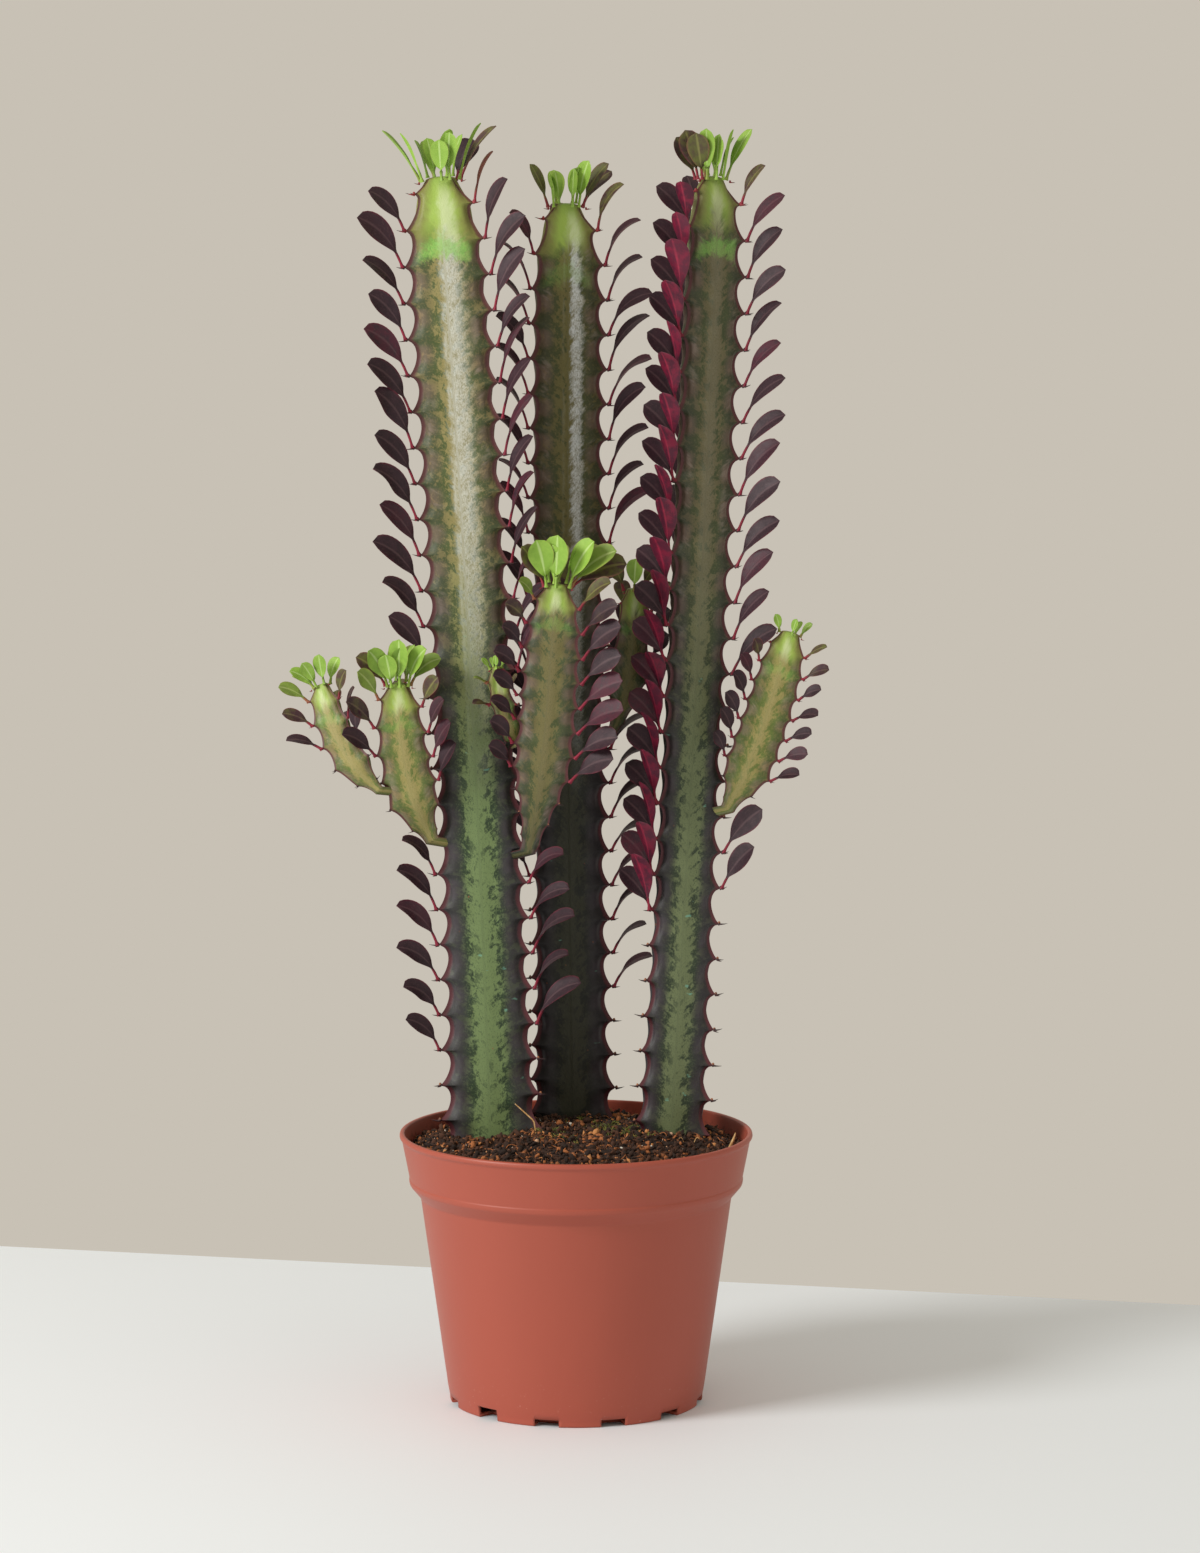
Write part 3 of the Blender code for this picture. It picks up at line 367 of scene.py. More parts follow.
class Shade:
    """One material and its nodes."""

    def __init__(self, name):
        self.material = bpy.data.materials.new(name)
        self.material.use_nodes = True
        self.tree = self.material.node_tree
        self.shader = self.tree.nodes["Principled BSDF"]

    def node(self, kind, settings=None, values=None):
        """A node of this type: its settings are set first, then its sockets' values or links."""
        made = self.tree.nodes.new(kind)
        for name, setting in (settings or {}).items():
            setattr(made, name, setting)
        for key, value in (values or {}).items():
            self.feed(made.inputs[key], value)
        return made

    def feed(self, socket, value):
        """Links or sets a socket; a colour may be given by its six-figure code."""
        if isinstance(value, Value):
            value = value.socket
        if isinstance(value, str):
            value = paint(value)
        if isinstance(value, bpy.types.NodeSocket):
            self.tree.links.new(value, socket)
        elif socket.type == "RGBA":
            socket.default_value = (*value[:3], 1.0)
        else:
            socket.default_value = value

    def math(self, operation, *values):
        made = self.node("ShaderNodeMath", {"operation": operation}, dict(enumerate(values)))
        return Value(self, made.outputs[0])

    def number(self, name):
        return Value(self, self.node("ShaderNodeAttribute", {"attribute_name": name}).outputs["Fac"])

    def vector(self, name):
        return self.node("ShaderNodeAttribute", {"attribute_name": name}).outputs["Vector"]

    def place(self):
        return self.node("ShaderNodeTexCoord").outputs["Object"]

    def stretched(self, vector, scale):
        return self.node("ShaderNodeMapping", None, {"Vector": vector, "Scale": scale}).outputs[0]

    def noise(self, vector, scale, detail, roughness=0.5, distortion=0.0):
        values = {
            "Vector": vector,
            "Scale": scale,
            "Detail": detail,
            "Roughness": roughness,
            "Distortion": distortion,
        }
        return Value(self, self.node("ShaderNodeTexNoise", None, values).outputs["Fac"])

    def cells(self, vector, scale):
        """Distance to the nearest of many scattered points, in cells."""
        values = {"Vector": vector, "Scale": scale}
        return Value(self, self.node("ShaderNodeTexVoronoi", None, values).outputs["Distance"])

    def rise(self, value, low, high):
        """0 below low, 1 above high and smooth between them; low may be the larger."""
        values = {"Value": value, "From Min": min(low, high), "From Max": max(low, high)}
        if low > high:
            values.update({"To Min": 1.0, "To Max": 0.0})
        settings = {"interpolation_type": "SMOOTHSTEP"}
        return Value(self, self.node("ShaderNodeMapRange", settings, values).outputs["Result"])

    def mix(self, factor, a, b):
        settings = {"data_type": "RGBA", "clamp_factor": True}
        made = self.node("ShaderNodeMix", settings)
        self.feed(made.inputs["Factor"], factor)
        colours = [s for s in made.inputs if s.type == "RGBA"]
        self.feed(colours[0], a)
        self.feed(colours[1], b)
        return next(s for s in made.outputs if s.type == "RGBA")

    def shift(self, colour, brightness):
        """The same colour, made brighter or darker."""
        values = {"Value": brightness, "Color": colour}
        return self.node("ShaderNodeHueSaturation", None, values).outputs["Color"]

    def bump(self, height, distance, strength):
        values = {"Height": height, "Distance": distance, "Strength": strength}
        return self.node("ShaderNodeBump", None, values).outputs["Normal"]

    def finish(self, **sockets):
        """Sets the shader's sockets, named with underscores for spaces."""
        for name, value in sockets.items():
            self.feed(self.shader.inputs[name.replace("_", " ")], value)
        return self.material


# Each skin's finish. light and dark are its mottling and pale its band's colour; low_light and low_dark
# are the mottling further down, whose extra darkness is partly painted shade of the leaves above.
# band_at is the band's place across the face (-1 to 1), band_half its half width, band_soft how far it
# feathers out and band its strength; line is the strength of a thin pale line beside it. tip is the
# strength of the growing end's colour, tip_long its length, and glow that of the green under it.
SKINS = {
    "left_stem": dict(
        light="8F8553", dark="43542A", pale="D3D5CB", low_light="6C8050", low_dark="1B2E1B",
        band_at=0.15, band_half=0.27, band_soft=1.9, band=0.90, line=0.34,
        tip=0.92, tip_long=0.030, glow=0.72,
    ),
    # Painted shade: the middle stem's mottling is darker than the left stem's, and near black low down.
    "middle_stem": dict(
        light="6B6334", dark="3A431C", pale="D2D6D6", low_light="343524", low_dark="141812",
        band_at=0.28, band_half=0.20, band_soft=1.5, band=1.0, line=0.06,
        tip=0.88, tip_long=0.024, glow=0.22,
    ),
    # Partly painted shade: the right stem's upper mottling and band are darker than the left stem's.
    "right_stem": dict(
        light="635C3E", dark="364222", pale="7F7A68", low_light="67724E", low_dark="1B2A1B",
        band_at=0.02, band_half=0.30, band_soft=1.5, band=0.45, line=0.06,
        tip=0.66, tip_long=0.024, glow=0.50,
    ),
    "young": dict(
        light="968C52", dark="5C7030", pale="AFA270", low_light="8A804E", low_dark="4E602C",
        band_at=0.0, band_half=0.24, band_soft=1.5, band=0.45, line=0.06,
        tip=0.85, tip_long=0.024, glow=0.22,
    ),
    "centre_branch": dict(
        light="6C653A", dark="3C4A26", pale="857A58", low_light="5A5638", low_dark="2E3C24",
        band_at=0.05, band_half=0.16, band_soft=1.5, band=0.35, line=0.06,
        tip=0.82, tip_long=0.024, glow=0.22,
    ),
}


class SkinShade(Shade):
    """A stem's mottled skin. Each layer takes the colour so far and gives it back with its own on top."""

    def __init__(self, name):
        super().__init__(name + "_skin")
        self.skin = SKINS[name]
        self.crest = self.number("from_crest")
        self.face = self.number("across_face")
        self.drop = self.number("below_tip")
        self.notch = self.number("notch")
        self.surface, streak = self.vector("surface"), self.vector("streak")
        self.grain = self.noise(self.surface, 1250, 2, 0.65)
        self.mottle = self.noise(self.surface, 210, 5, 0.68, 0.4)
        self.patch = self.noise(self.surface, 62, 4, 0.6)
        self.feather = self.noise(streak, 1.0, 6, 0.68)
        self.low = self.rise(self.drop + (self.patch - 0.5) * 0.05, 0.13, 0.27)
        self.wobble = (self.feather - 0.5) * 0.62 + (self.mottle - 0.5) * 0.34
        self.off_band = abs(self.face - self.skin["band_at"] + self.wobble)
        above = self.rise(self.drop + (self.patch - 0.5) * 0.06, 0.27, 0.13)
        self.fade = above * self.rise(self.drop, -0.002, 0.012)
        broken = self.grain * 0.45 + self.feather * 0.35 + self.mottle * 0.20
        self.grainy = self.rise(broken, 0.38, 0.58) * 0.66 + 0.26

    def mottling(self):
        """Light and dark green in blotches, darker further down, partly as painted shade of the leaves
        above.
        """
        lighter = self.mix(self.low, self.skin["light"], self.skin["low_light"])
        darker = self.mix(self.low, self.skin["dark"], self.skin["low_dark"])
        leaning = self.rise(self.crest, 0.95, 0.25) * 0.10 - 0.02
        blotch = self.rise(self.mottle * 0.55 + self.feather * 0.45 + leaning, 0.50, 0.57)
        green = self.mix(blotch * 0.92, lighter, darker)
        green = self.mix(self.rise(self.grain, 0.48, 0.70) * 0.45, green, lighter)
        return self.mix(self.rise(self.grain, 0.50, 0.30) * 0.45, green, darker)

    def pale_band(self, colour):
        """The feathered band down each face, the thin line beside it and its grey heart lower down."""
        half = self.skin["band_half"]
        band = self.rise(self.off_band, half * self.skin["band_soft"], half * 0.30)
        colour = self.mix(band * self.fade * self.grainy * self.skin["band"], colour, self.skin["pale"])
        thin = self.rise(abs(self.face + 0.20 + self.wobble * 0.4), 0.075, 0.0)
        shown = thin * self.fade * self.rise(self.patch, 0.42, 0.55) * self.skin["line"]
        colour = self.mix(shown, colour, self.skin["pale"])
        heart = self.rise(abs(self.face + self.wobble), 0.36, 0.14) * self.low
        return self.mix(heart * self.grainy * 0.55, colour, self.skin["low_light"])

    def flanks(self, colour):
        """Dark beside the crests, with a seam under each tooth and a painted highlight along the margin.
        """
        ragged = self.crest + (self.feather - 0.5) * 0.42 + (self.mottle - 0.5) * 0.22
        flank = self.rise(ragged, 0.58, 0.26)
        colour = self.mix(flank * (self.low * 0.50 + 0.34), colour, look("stem").flank)
        line = self.rise(self.notch + (self.feather - 0.5) * 0.5, 0.72, 1.0)
        line = line * self.rise(self.crest, 0.55, 0.22)
        colour = self.mix(line * 0.21, colour, self.mix(self.low, "B58A84", "62545E"))
        # A painted highlight: pale on each flank beside the crest, bluish slate further down.
        painted_sheen = self.rise(self.feather * 0.5 + self.patch * 0.5, 0.52, 0.62)
        painted_sheen = painted_sheen * self.rise(self.crest, 0.10, 0.22) * self.rise(self.crest, 0.55, 0.3)
        return self.mix(painted_sheen * 0.17, colour, self.mix(self.low, "C9B4A8", "504A58"))

    def growing_end(self, colour):
        """The lime end, pale on its faces and brown by its crests, and the green glow under it."""
        ragged = self.drop + (self.feather - 0.5) * 0.014 + (self.patch - 0.5) * 0.016
        ragged = ragged - abs(self.face) * 0.004
        middle = self.rise(self.off_band, 0.50, 0.08) * self.rise(self.drop, -0.002, 0.010)
        lime = self.mix(middle * 0.85, look("stem").lime, "CDDCA4")
        lime = self.mix(self.rise(self.drop, 0.006, -0.002) * 0.5, lime, "7FA03A")
        by_crest = self.rise(self.crest + (self.feather - 0.5) * 0.4, 0.62, 0.15)
        lime = self.mix(by_crest * 0.75, lime, "75643A")
        long = self.skin["tip_long"]
        colour = self.mix(self.rise(ragged, long, long - 0.014) * self.skin["tip"], colour, lime)
        glow = self.rise(ragged, 0.0215, 0.0265) * self.rise(ragged, 0.0330, 0.0285)
        glow = glow * self.rise(self.crest, 0.06, 0.35) * (self.grainy * 0.6 + 0.4)
        return self.mix(glow * self.skin["glow"], colour, "8CCB5A")

    def specks(self, colour):
        """Rust specks and blue-green scars low down, and the horny margin along the crest."""
        speck = self.rise(self.cells(self.surface, 150), 0.085, 0.045) * self.rise(self.drop, 0.20, 0.30)
        colour = self.mix(speck * self.rise(self.patch, 0.52, 0.60), colour, "8A4E30")
        scratches = self.noise(self.stretched(self.surface, (0.35, 1.0, 1.0)), 160, 3, 0.6)
        colour = self.mix(self.rise(scratches, 0.70, 0.74) * self.low * 0.6, colour, "6FA894")
        edge = self.rise(self.crest + (self.mottle - 0.5) * 0.08, 0.10, 0.03)
        return self.mix(edge * 0.88, colour, look("stem").margin)


def skin_material(name):
    """Mottled skin: a feathered pale band down each face, dark flanks and a lime growing end."""
    s = SkinShade(name)
    colour = s.specks(s.growing_end(s.flanks(s.pale_band(s.mottling()))))
    height = s.mottle * 0.5 + s.grain * 0.35 + s.feather * 0.3
    return s.finish(
        Base_Color=colour,
        Roughness=0.42 + s.mottle * 0.2,
        Normal=s.bump(height, 0.0004, 0.5),
        Specular_IOR_Level=0.42,
    )


def leaf_material():
    """Green while it is young, then dark purple above and crimson below, with a red petiole."""
    leaf = look("leaf")
    s = Shade("leaf")
    along, across = s.number("along"), s.number("across")
    under, age, tone = s.number("under"), s.number("age"), s.number("tone")
    place = s.place()
    blotch = s.noise(place, 260, 4, 0.6)
    fine = s.noise(place, 1400, 3, 0.6)
    side = abs(across)
    midrib = s.rise(side, 0.16, 0.03)
    veins = s.noise(s.stretched(s.vector("vein"), (1.0, 7.0, 1.0)), 2.2, 3, 0.5)
    upper = s.mix(s.rise(blotch, 0.35, 0.7) * 0.6, leaf.upper, "22151C")
    upper = s.mix(s.rise(veins, 0.52, 0.68) * 0.35, upper, "523A3C")
    upper = s.mix(midrib * 0.35, upper, "6C5256")
    under_red = s.mix(s.rise(blotch, 0.38, 0.60) * 0.8, leaf.under, "3C1226")
    under_red = s.mix(midrib * 0.5, under_red, "A02C44")
    grown = s.mix(under, upper, under_red)
    olive = s.mix(s.rise(blotch, 0.35, 0.65), "5A5A2A", "4C3430")
    olive = s.mix(midrib * 0.5, olive, "8E8A4A")
    olive = s.mix(under * 0.6, olive, "A0524E")
    young = s.mix(s.rise(blotch, 0.3, 0.7) * 0.5, leaf.young, "6C962E")
    young = s.mix(midrib * 0.6, young, "C0D890")
    young = s.mix(s.rise(side, 0.95, 1.0) * 0.4, young, "9A5236")
    colour = s.mix(s.rise(age, 0.10, 0.45), young, olive)
    colour = s.mix(s.rise(age + (blotch - 0.5) * 0.3, 0.45, 0.85), colour, grown)
    stalk = s.rise(along, 0.27, 0.14) * s.rise(age, 0.0, 0.4)
    colour = s.mix(stalk * 0.85, colour, "8A1C34")
    flushed = s.rise(tone, 0.60, 0.72) * s.rise(blotch, 0.35, 0.6) * s.rise(age, 0.5, 0.9)
    colour = s.mix(flushed * 0.45, colour, "5C1A30")
    rim = s.rise(side, 0.95, 1.0) * s.rise(age, 0.3, 0.6)
    colour = s.mix(rim * 0.35, colour, "9A3A4A")
    colour = s.shift(colour, tone * 0.55 + 0.75)
    height = veins * 0.6 + fine * 0.25 + midrib * 0.5
    return s.finish(
        Base_Color=colour,
        Roughness=0.48 + blotch * 0.16,
        Normal=s.bump(height, 0.0003, 0.28),
        Specular_IOR_Level=0.38,
    )


def thorn_material():
    """Horny thorns: dark red while young, near black at the point, with pale leaf scars."""
    s = Shade("thorn")
    along, age = s.number("along"), s.number("age")
    grain = s.noise(s.place(), 1200, 3)
    base = s.mix(s.rise(age, 0.1, 0.6), "8C2A30", "3C2226")
    scar = s.number("scar")
    base = s.mix(scar * s.rise(grain, 0.3, 0.6), base, "B9764C")
    colour = s.mix(s.rise(along, 0.4, 0.9), base, "2A1A1A")
    return s.finish(Base_Color=colour, Roughness=0.42 + grain * 0.2, Normal=s.bump(grain, 0.0002, 0.4))


def pot_material():
    """Satin moulded plastic: faint flow marks and scuffs, with soil stains above the soil."""
    pot = look("pot")
    s = Shade("pot_plastic")
    place = s.place()
    inside, height = s.number("inside"), s.number("height")
    cloud = s.noise(place, 9, 4, 0.55)
    flow = s.noise(s.stretched(place, (1, 1, 0.12)), 60, 4, 0.6)
    peel = s.noise(place, 420, 3, 0.5)
    scuff = s.noise(s.stretched(place, (0.25, 0.25, 2.6)), 210, 6, 0.75)
    colour = s.shift(pot.plastic, cloud * 0.16 + flow * 0.06 + 0.89)
    worn = s.rise(scuff, 0.66, 0.80)
    colour = s.mix(worn * 0.18, colour, "E0A48E")
    crumbs = s.rise(s.noise(place, 300, 5, 0.7), 0.50, 0.60) * inside * s.rise(height, 0.114, 0.108)
    colour = s.mix(crumbs * 0.8, colour, pot.stain)
    dust = s.rise(s.noise(place, 650, 4, 0.7), 0.63, 0.72) * (1 - inside) * s.rise(height, 0.03, 0.0)
    colour = s.mix(dust * 0.3, colour, "D9B9A4")
    return s.finish(
        Base_Color=colour,
        Roughness=0.40 + cloud * 0.08 + worn * 0.16 + crumbs * 0.3,
        Normal=s.bump(peel * 0.6 + scuff * 0.4, 0.0002, 0.25),
        Specular_IOR_Level=0.45,
    )


def soil_material():
    """Moist peat with lighter bits of coir."""
    soil = look("soil")
    s = Shade("soil")
    place = s.place()
    coarse = s.noise(place, 170, 6, 0.7)
    fine = s.noise(place, 900, 5, 0.7)
    colour = s.mix(s.rise(coarse, 0.40, 0.66), soil.dark, "4A2D1C")
    colour = s.mix(s.rise(fine, 0.60, 0.74), colour, soil.coir)
    return s.finish(
        Base_Color=colour, Roughness=0.86 + fine * 0.1, Normal=s.bump(coarse + fine * 0.5, 0.0016, 0.9)
    )


def crumb_material():
    """Bits of peat, bark, coir and perlite, told apart by their tone."""
    soil = look("soil")
    s = Shade("soil_bits")
    tone = s.number("tone")
    grain = s.noise(s.place(), 1100, 5, 0.7)
    colour = s.mix(s.rise(tone, 0.20, 0.60), soil.dark, "4E301F")
    colour = s.mix(s.rise(tone, 0.74, 0.86), colour, soil.coir)
    colour = s.mix(s.rise(tone, 0.93, 0.965), colour, "C98A52")
    colour = s.mix(s.rise(tone, 0.975, 0.99), colour, "DDD6C8")
    colour = s.shift(colour, grain * 0.8 + 0.6)
    return s.finish(Base_Color=colour, Roughness=0.84 + grain * 0.1, Normal=s.bump(grain, 0.0005, 0.8))


def moss_material():
    """Yellow-green moss that dries to straw at places."""
    soil = look("soil")
    s = Shade("moss")
    tone = s.number("tone")
    grain = s.noise(s.place(), 900, 3)
    colour = s.mix(tone, "4C5528", soil.moss)
    colour = s.mix(s.rise(grain, 0.5, 0.8) * 0.5, colour, "A79B52")
    return s.finish(Base_Color=colour, Roughness=0.75 + grain * 0.1)


def straw_material():
    """Dry straw, streaked along its length."""
    s = Shade("straw")
    grain = s.noise(s.stretched(s.place(), (1, 1, 0.2)), 900, 4)
    colour = s.mix(s.rise(grain, 0.35, 0.7), "B88A50", "DDB985")
    return s.finish(Base_Color=colour, Roughness=0.6 + grain * 0.1, Normal=s.bump(grain, 0.0003, 0.5))


# Meshes


def grid_faces(rows, columns, closed=True):
    """Quads of a grid of points, given row after row, closed round its columns if asked."""
    count = columns if closed else columns - 1
    i = np.repeat(np.arange(rows - 1), count)
    j = np.tile(np.arange(count), rows - 1)
    k = (j + 1) % columns
    return np.stack([i * columns + j, i * columns + k, (i + 1) * columns + k, (i + 1) * columns + j], 1)


class Sheaf:
    """Points, faces and attributes of many small shapes, gathered into one mesh."""

    def __init__(self):
        self.points, self.faces, self.attributes, self.count = [], [], {}, 0

    def add(self, points, faces, **attributes):
        points = np.asarray(points, float)
        for face_set in faces if isinstance(faces, list) else [faces]:
            self.faces.append(np.asarray(face_set) + self.count)
        self.points.append(points)
        for name, data in attributes.items():
            data = np.asarray(data, float)
            if data.ndim == 0:
                data = np.full(len(points), float(data))
            self.attributes.setdefault(name, []).append(data)
        self.count += len(points)

    def build(self, name, material, smooth):
        """One object of all that was added, with edges sharper than smooth degrees kept sharp."""
        points = np.concatenate(self.points)
        faces = [face for face_set in self.faces for face in np.atleast_2d(face_set).tolist()]
        mesh = bpy.data.meshes.new(name)
        mesh.from_pydata(points.tolist(), [], faces)
        work = bmesh.new()
        work.from_mesh(mesh)
        bmesh.ops.recalc_face_normals(work, faces=work.faces)
        work.to_mesh(mesh)
        work.free()
        for key, parts in self.attributes.items():
            data = np.concatenate(parts)
            kind = "FLOAT_VECTOR" if data.ndim == 2 else "FLOAT"
            field = "vector" if data.ndim == 2 else "value"
            mesh.attributes.new(key, kind, "POINT").data.foreach_set(field, data.ravel())
        mesh.shade_smooth()
        if smooth:
            mesh.set_sharp_from_angle(angle=math.radians(smooth))
        mesh.materials.append(material)
        made = bpy.data.objects.new(name, mesh)
        bpy.context.scene.collection.objects.link(made)
        return made


def caps(rows, columns):
    """The two end faces of a closed grid."""
    return [np.arange(columns)[None, ::-1], np.arange(columns)[None] + (rows - 1) * columns]


def tube(path, radii, sides=6):
    """Points of a tube along a path, and its faces with both ends capped."""
    path = [Vector(p) for p in path]
    points = []
    side = Vector((0.3, 0.9, 0.2))
    for i, centre in enumerate(path):
        ahead = (path[min(len(path) - 1, i + 1)] - path[max(0, i - 1)]).normalized()
        side = (side - ahead * side.dot(ahead)).normalized()
        other = ahead.cross(side)
        for j in range(sides):
            angle = 2 * math.pi * j / sides
            points.append(centre + (side * math.cos(angle) + other * math.sin(angle)) * radii[i])
    return [tuple(p) for p in points], [grid_faces(len(path), sides), *caps(len(path), sides)]


def keep(piece, slot, *nodes):
    """Makes a piece ride on the plant and stand for the given nodes. The slot argument is not used."""
    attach(piece, BODY)
    if nodes:
        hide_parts(*nodes)


# The design's stems and leaves, as in the model


def tube_faces(rings, sides):
    """Faces of a closed tube of rings, ends included, for finding what a leaf meets."""
    faces = []
    for ring in range(rings - 1):
        for i in range(sides):
            j = (i + 1) % sides
            low, high = ring * sides, (ring + 1) * sides
            faces.append((low + i, low + j, high + j, high + i))
    faces.append(tuple(range(sides))[::-1])
    faces.append(tuple(range((rings - 1) * sides, rings * sides)))
    return faces


def smooth_step(x):
    x = max(0.0, min(1.0, x))
    return x * x * (3 - 2 * x)


def pot_levels():
    """(height, outer radius) of the pot's corners, from the floor up to the rim's foot."""
    top = POT_BOX[1][2]
    collar = top - POT_COLLAR_HEIGHT
    return (0.0, 0.0542), (collar - POT_STEP_HEIGHT, 0.0665), (collar, 0.0712), (top, 0.0746)


def inner_radius(height):
    """Radius of the pot's inside at a height."""
    levels = pot_levels()
    for (low, r_low), (high, r_high) in zip(levels, levels[1:]):
        if height <= high:
            return r_low + (r_high - r_low) * (height - low) / (high - low) - POT_WALL
    return levels[-1][1] - POT_WALL


def soil_height(radius):
    """Height of the smooth soil at a distance from the pot's axis."""
    edge = pot_levels()[-1][0] - SOIL_BELOW_RIM
    share = min(1.0, radius / inner_radius(edge))
    return edge + SOIL_HEAP * (1 - share**2)


class Stalk:
    """One ribbed stem or branch. Distances along it are counted down from its growing tip."""

    def __init__(self, name, curve, spec, buried=0.0):
        self.name = name
        self.spec = spec
        self.buried = buried
        self.necks = []
        self.root = None
        self.reach_full = spec["reach"]
        self.pitch = spec["pitch"]
        self.tooth = spec["tooth"]
        base, middle, tip = (Vector(p) for p in curve)
        shares = [1 - i / (AXIS_SAMPLES - 1) for i in range(AXIS_SAMPLES)]
        self.axis = [base * (1 - t) ** 2 + middle * 2 * t * (1 - t) + tip * t**2 for t in shares]
        self.along = [0.0]
        for a, b in zip(self.axis, self.axis[1:]):
            self.along.append(self.along[-1] + (b - a).length)
        self.length = self.along[-1]
        self.ups, self.sides = [], []
        side = Vector((1, 0, 0))
        for i in range(AXIS_SAMPLES):
            a, b = self.axis[max(0, i - 1)], self.axis[min(AXIS_SAMPLES - 1, i + 1)]
            up = (a - b).normalized()
            side = (side - up * side.dot(up)).normalized()
            self.ups.append(up)
            self.sides.append(side)

    def frame(self, distance):
        """(axis point, direction to the tip, direction of azimuth 0) at this distance."""
        last = AXIS_SAMPLES - 2
        place = distance / self.length * (AXIS_SAMPLES - 1)
        low = min(last, max(0, int(place)))
        while low < last and self.along[low + 1] < distance:
            low += 1
        while low > 0 and self.along[low] > distance:
            low -= 1
        share = (distance - self.along[low]) / (self.along[low + 1] - self.along[low])
        centre = self.axis[low].lerp(self.axis[low + 1], share)
        return centre, self.ups[low], self.sides[low]

    def out(self, distance, azimuth):
        _, up, side = self.frame(distance)
        return side * math.cos(azimuth) + up.cross(side) * math.sin(azimuth)

    def point(self, distance, azimuth, radius):
        return self.frame(distance)[0] + self.out(distance, azimuth) * radius

    def rib_angle(self, rib, distance):
        share = 1 - distance / self.length
        return math.radians(self.spec["rib"] + 360 / RIBS * rib + self.spec["twist"] * share)

    def reach(self, distance):
        """How far the ribs' teeth stand from the axis."""
        crown = 1 - math.exp(-max(distance, 0.0) / (CROWN_LENGTH * self.reach_full))
        reach = self.reach_full * (CROWN_SHARE + (1 - CROWN_SHARE) * crown)
        from_base = self.length - distance
        if self.buried:
            extra = self.spec["foot_reach"] - self.reach_full
            return reach + extra * math.exp(-max(from_base - self.buried, 0.0) / FOOT_FLARE)
        neck = smooth_step(from_base / self.spec["neck"])
        return reach * (NECK_SHARE + (1 - NECK_SHARE) * neck)

    def depth(self, distance):
        """How deep the notches between the teeth are."""
        return self.tooth * self.reach(distance) / self.reach_full

    def foot_ring(self, distance):
        points = []
        for rib in range(RIBS):
            for part in (-1, 0, 1):
                radius = self.spec["foot_reach"] * FLANK_SHARE
                if part == 0:
                    radius = self.spec["foot_reach"] - MARGIN - self.tooth
                azimuth = self.rib_angle(rib, distance) + part * FLANK_ANGLE
                points.append(self.point(distance, azimuth, radius))
        return points

    def teeth_down(self):
        """How many teeth each rib of the model has."""
        spare = self.buried + TOOTH_ABOVE_SOIL if self.buried else NECK_BARE * self.spec["neck"]
        usable = self.length - spare - FIRST_TOOTH - max(TOOTH_PHASE) * self.pitch
        return int(usable / self.pitch)

    def tooth_at(self, rib, index):
        return FIRST_TOOTH + (index + TOOTH_PHASE[rib]) * self.pitch

    def body(self):
        """The model's plain solid, which leaves keep clear of."""
        columns = [(rib, part) for rib in range(RIBS) for part in range(3)]
        rings = [[(0.0, False)] * len(columns)]
        for index in range(self.teeth_down()):
            tooth_ring = [(self.tooth_at(rib, index), False) for rib, _ in columns]
            rings.append(tooth_ring)
            rings.append([(d + NOTCH_AT * self.pitch, True) for d, _ in tooth_ring])
        points = []
        for ring in rings:
            for (rib, part), (distance, notch) in zip(columns, ring):
                if part == 1:
                    radius = self.reach(distance) - MARGIN - (self.depth(distance) if notch else 0)
                else:
                    radius = self.reach(distance) * FLANK_SHARE
                azimuth = self.rib_angle(rib, distance) + (part - 1) * FLANK_ANGLE
                points.append(self.point(distance, azimuth, radius))
        for distance in self.base_rings():
            if self.buried:
                points += self.foot_ring(distance)
                continue
            for rib, part in columns:
                share = 1.0 if part == 1 else FLANK_SHARE
                radius = (self.reach(distance) - MARGIN / 2) * share
                azimuth = self.rib_angle(rib, distance) + (part - 1) * FLANK_ANGLE
                points.append(self.point(distance, azimuth, radius))
        return points, tube_faces(len(points) // len(columns), len(columns))

    def base_rings(self):
        if self.buried:
            return (self.length - self.buried - COLLAR_ABOVE_SOIL, self.length)
        return (self.length - NECK_COLLAR * self.spec["neck"], self.length)


def distance_at_height(stalk, rib, height):
    """How far below its tip a stem's rib passes through a height."""
    low, high = 0.0, stalk.length
    for _ in range(SEARCH_STEPS):
        middle = (low + high) / 2
        crest = stalk.point(middle, stalk.rib_angle(rib, middle), stalk.reach(middle))
        if crest.z > height:
            low = middle
        else:
            high = middle
    return (low + high) / 2


def foot_place(spec):
    """Where a main stem's axis meets the soil, from above."""
    return tuple(share * POT_BOX[1][0] for share in spec["foot"])


def make_stalks():
    """Every stem and branch, by name; each branch after the stem that bears it."""
    stalks = {}
    for name, spec in MAIN_STEMS.items():
        x, y = foot_place(spec)
        foot = Vector((x, y, soil_height(math.hypot(x, y)) - BURIED))
        tip = Vector(spec["tip"])
        middle = (foot + tip) / 2 + 2 * Vector(spec["bow"])
        stalks[name] = Stalk(name, (foot, middle, tip), spec, buried=BURIED)
    for name, spec in BRANCHES.items():
        parent = stalks[spec["parent"]]
        rib = parent.spec["ribs"].index(spec["parent_rib"])
        distance = distance_at_height(parent, rib, spec["height"])
        clear = parent.reach(distance) + 2 * GAP
        neck = parent.point(distance, parent.rib_angle(rib, distance), clear)
        middle, tip = neck + Vector(spec["lift"]), neck + Vector(spec["reach_out"])
        stalks[name] = Stalk(name, (neck, middle, tip), spec)
        angle = parent.rib_angle(rib, distance)
        stalks[name].root = parent.point(distance + ROOT_DROP, angle, ROOT_DEPTH * clear)
        parent.necks.append((rib, distance, spec["reach"] * NECK_SHARE + NECK_ROOM))
    return stalks


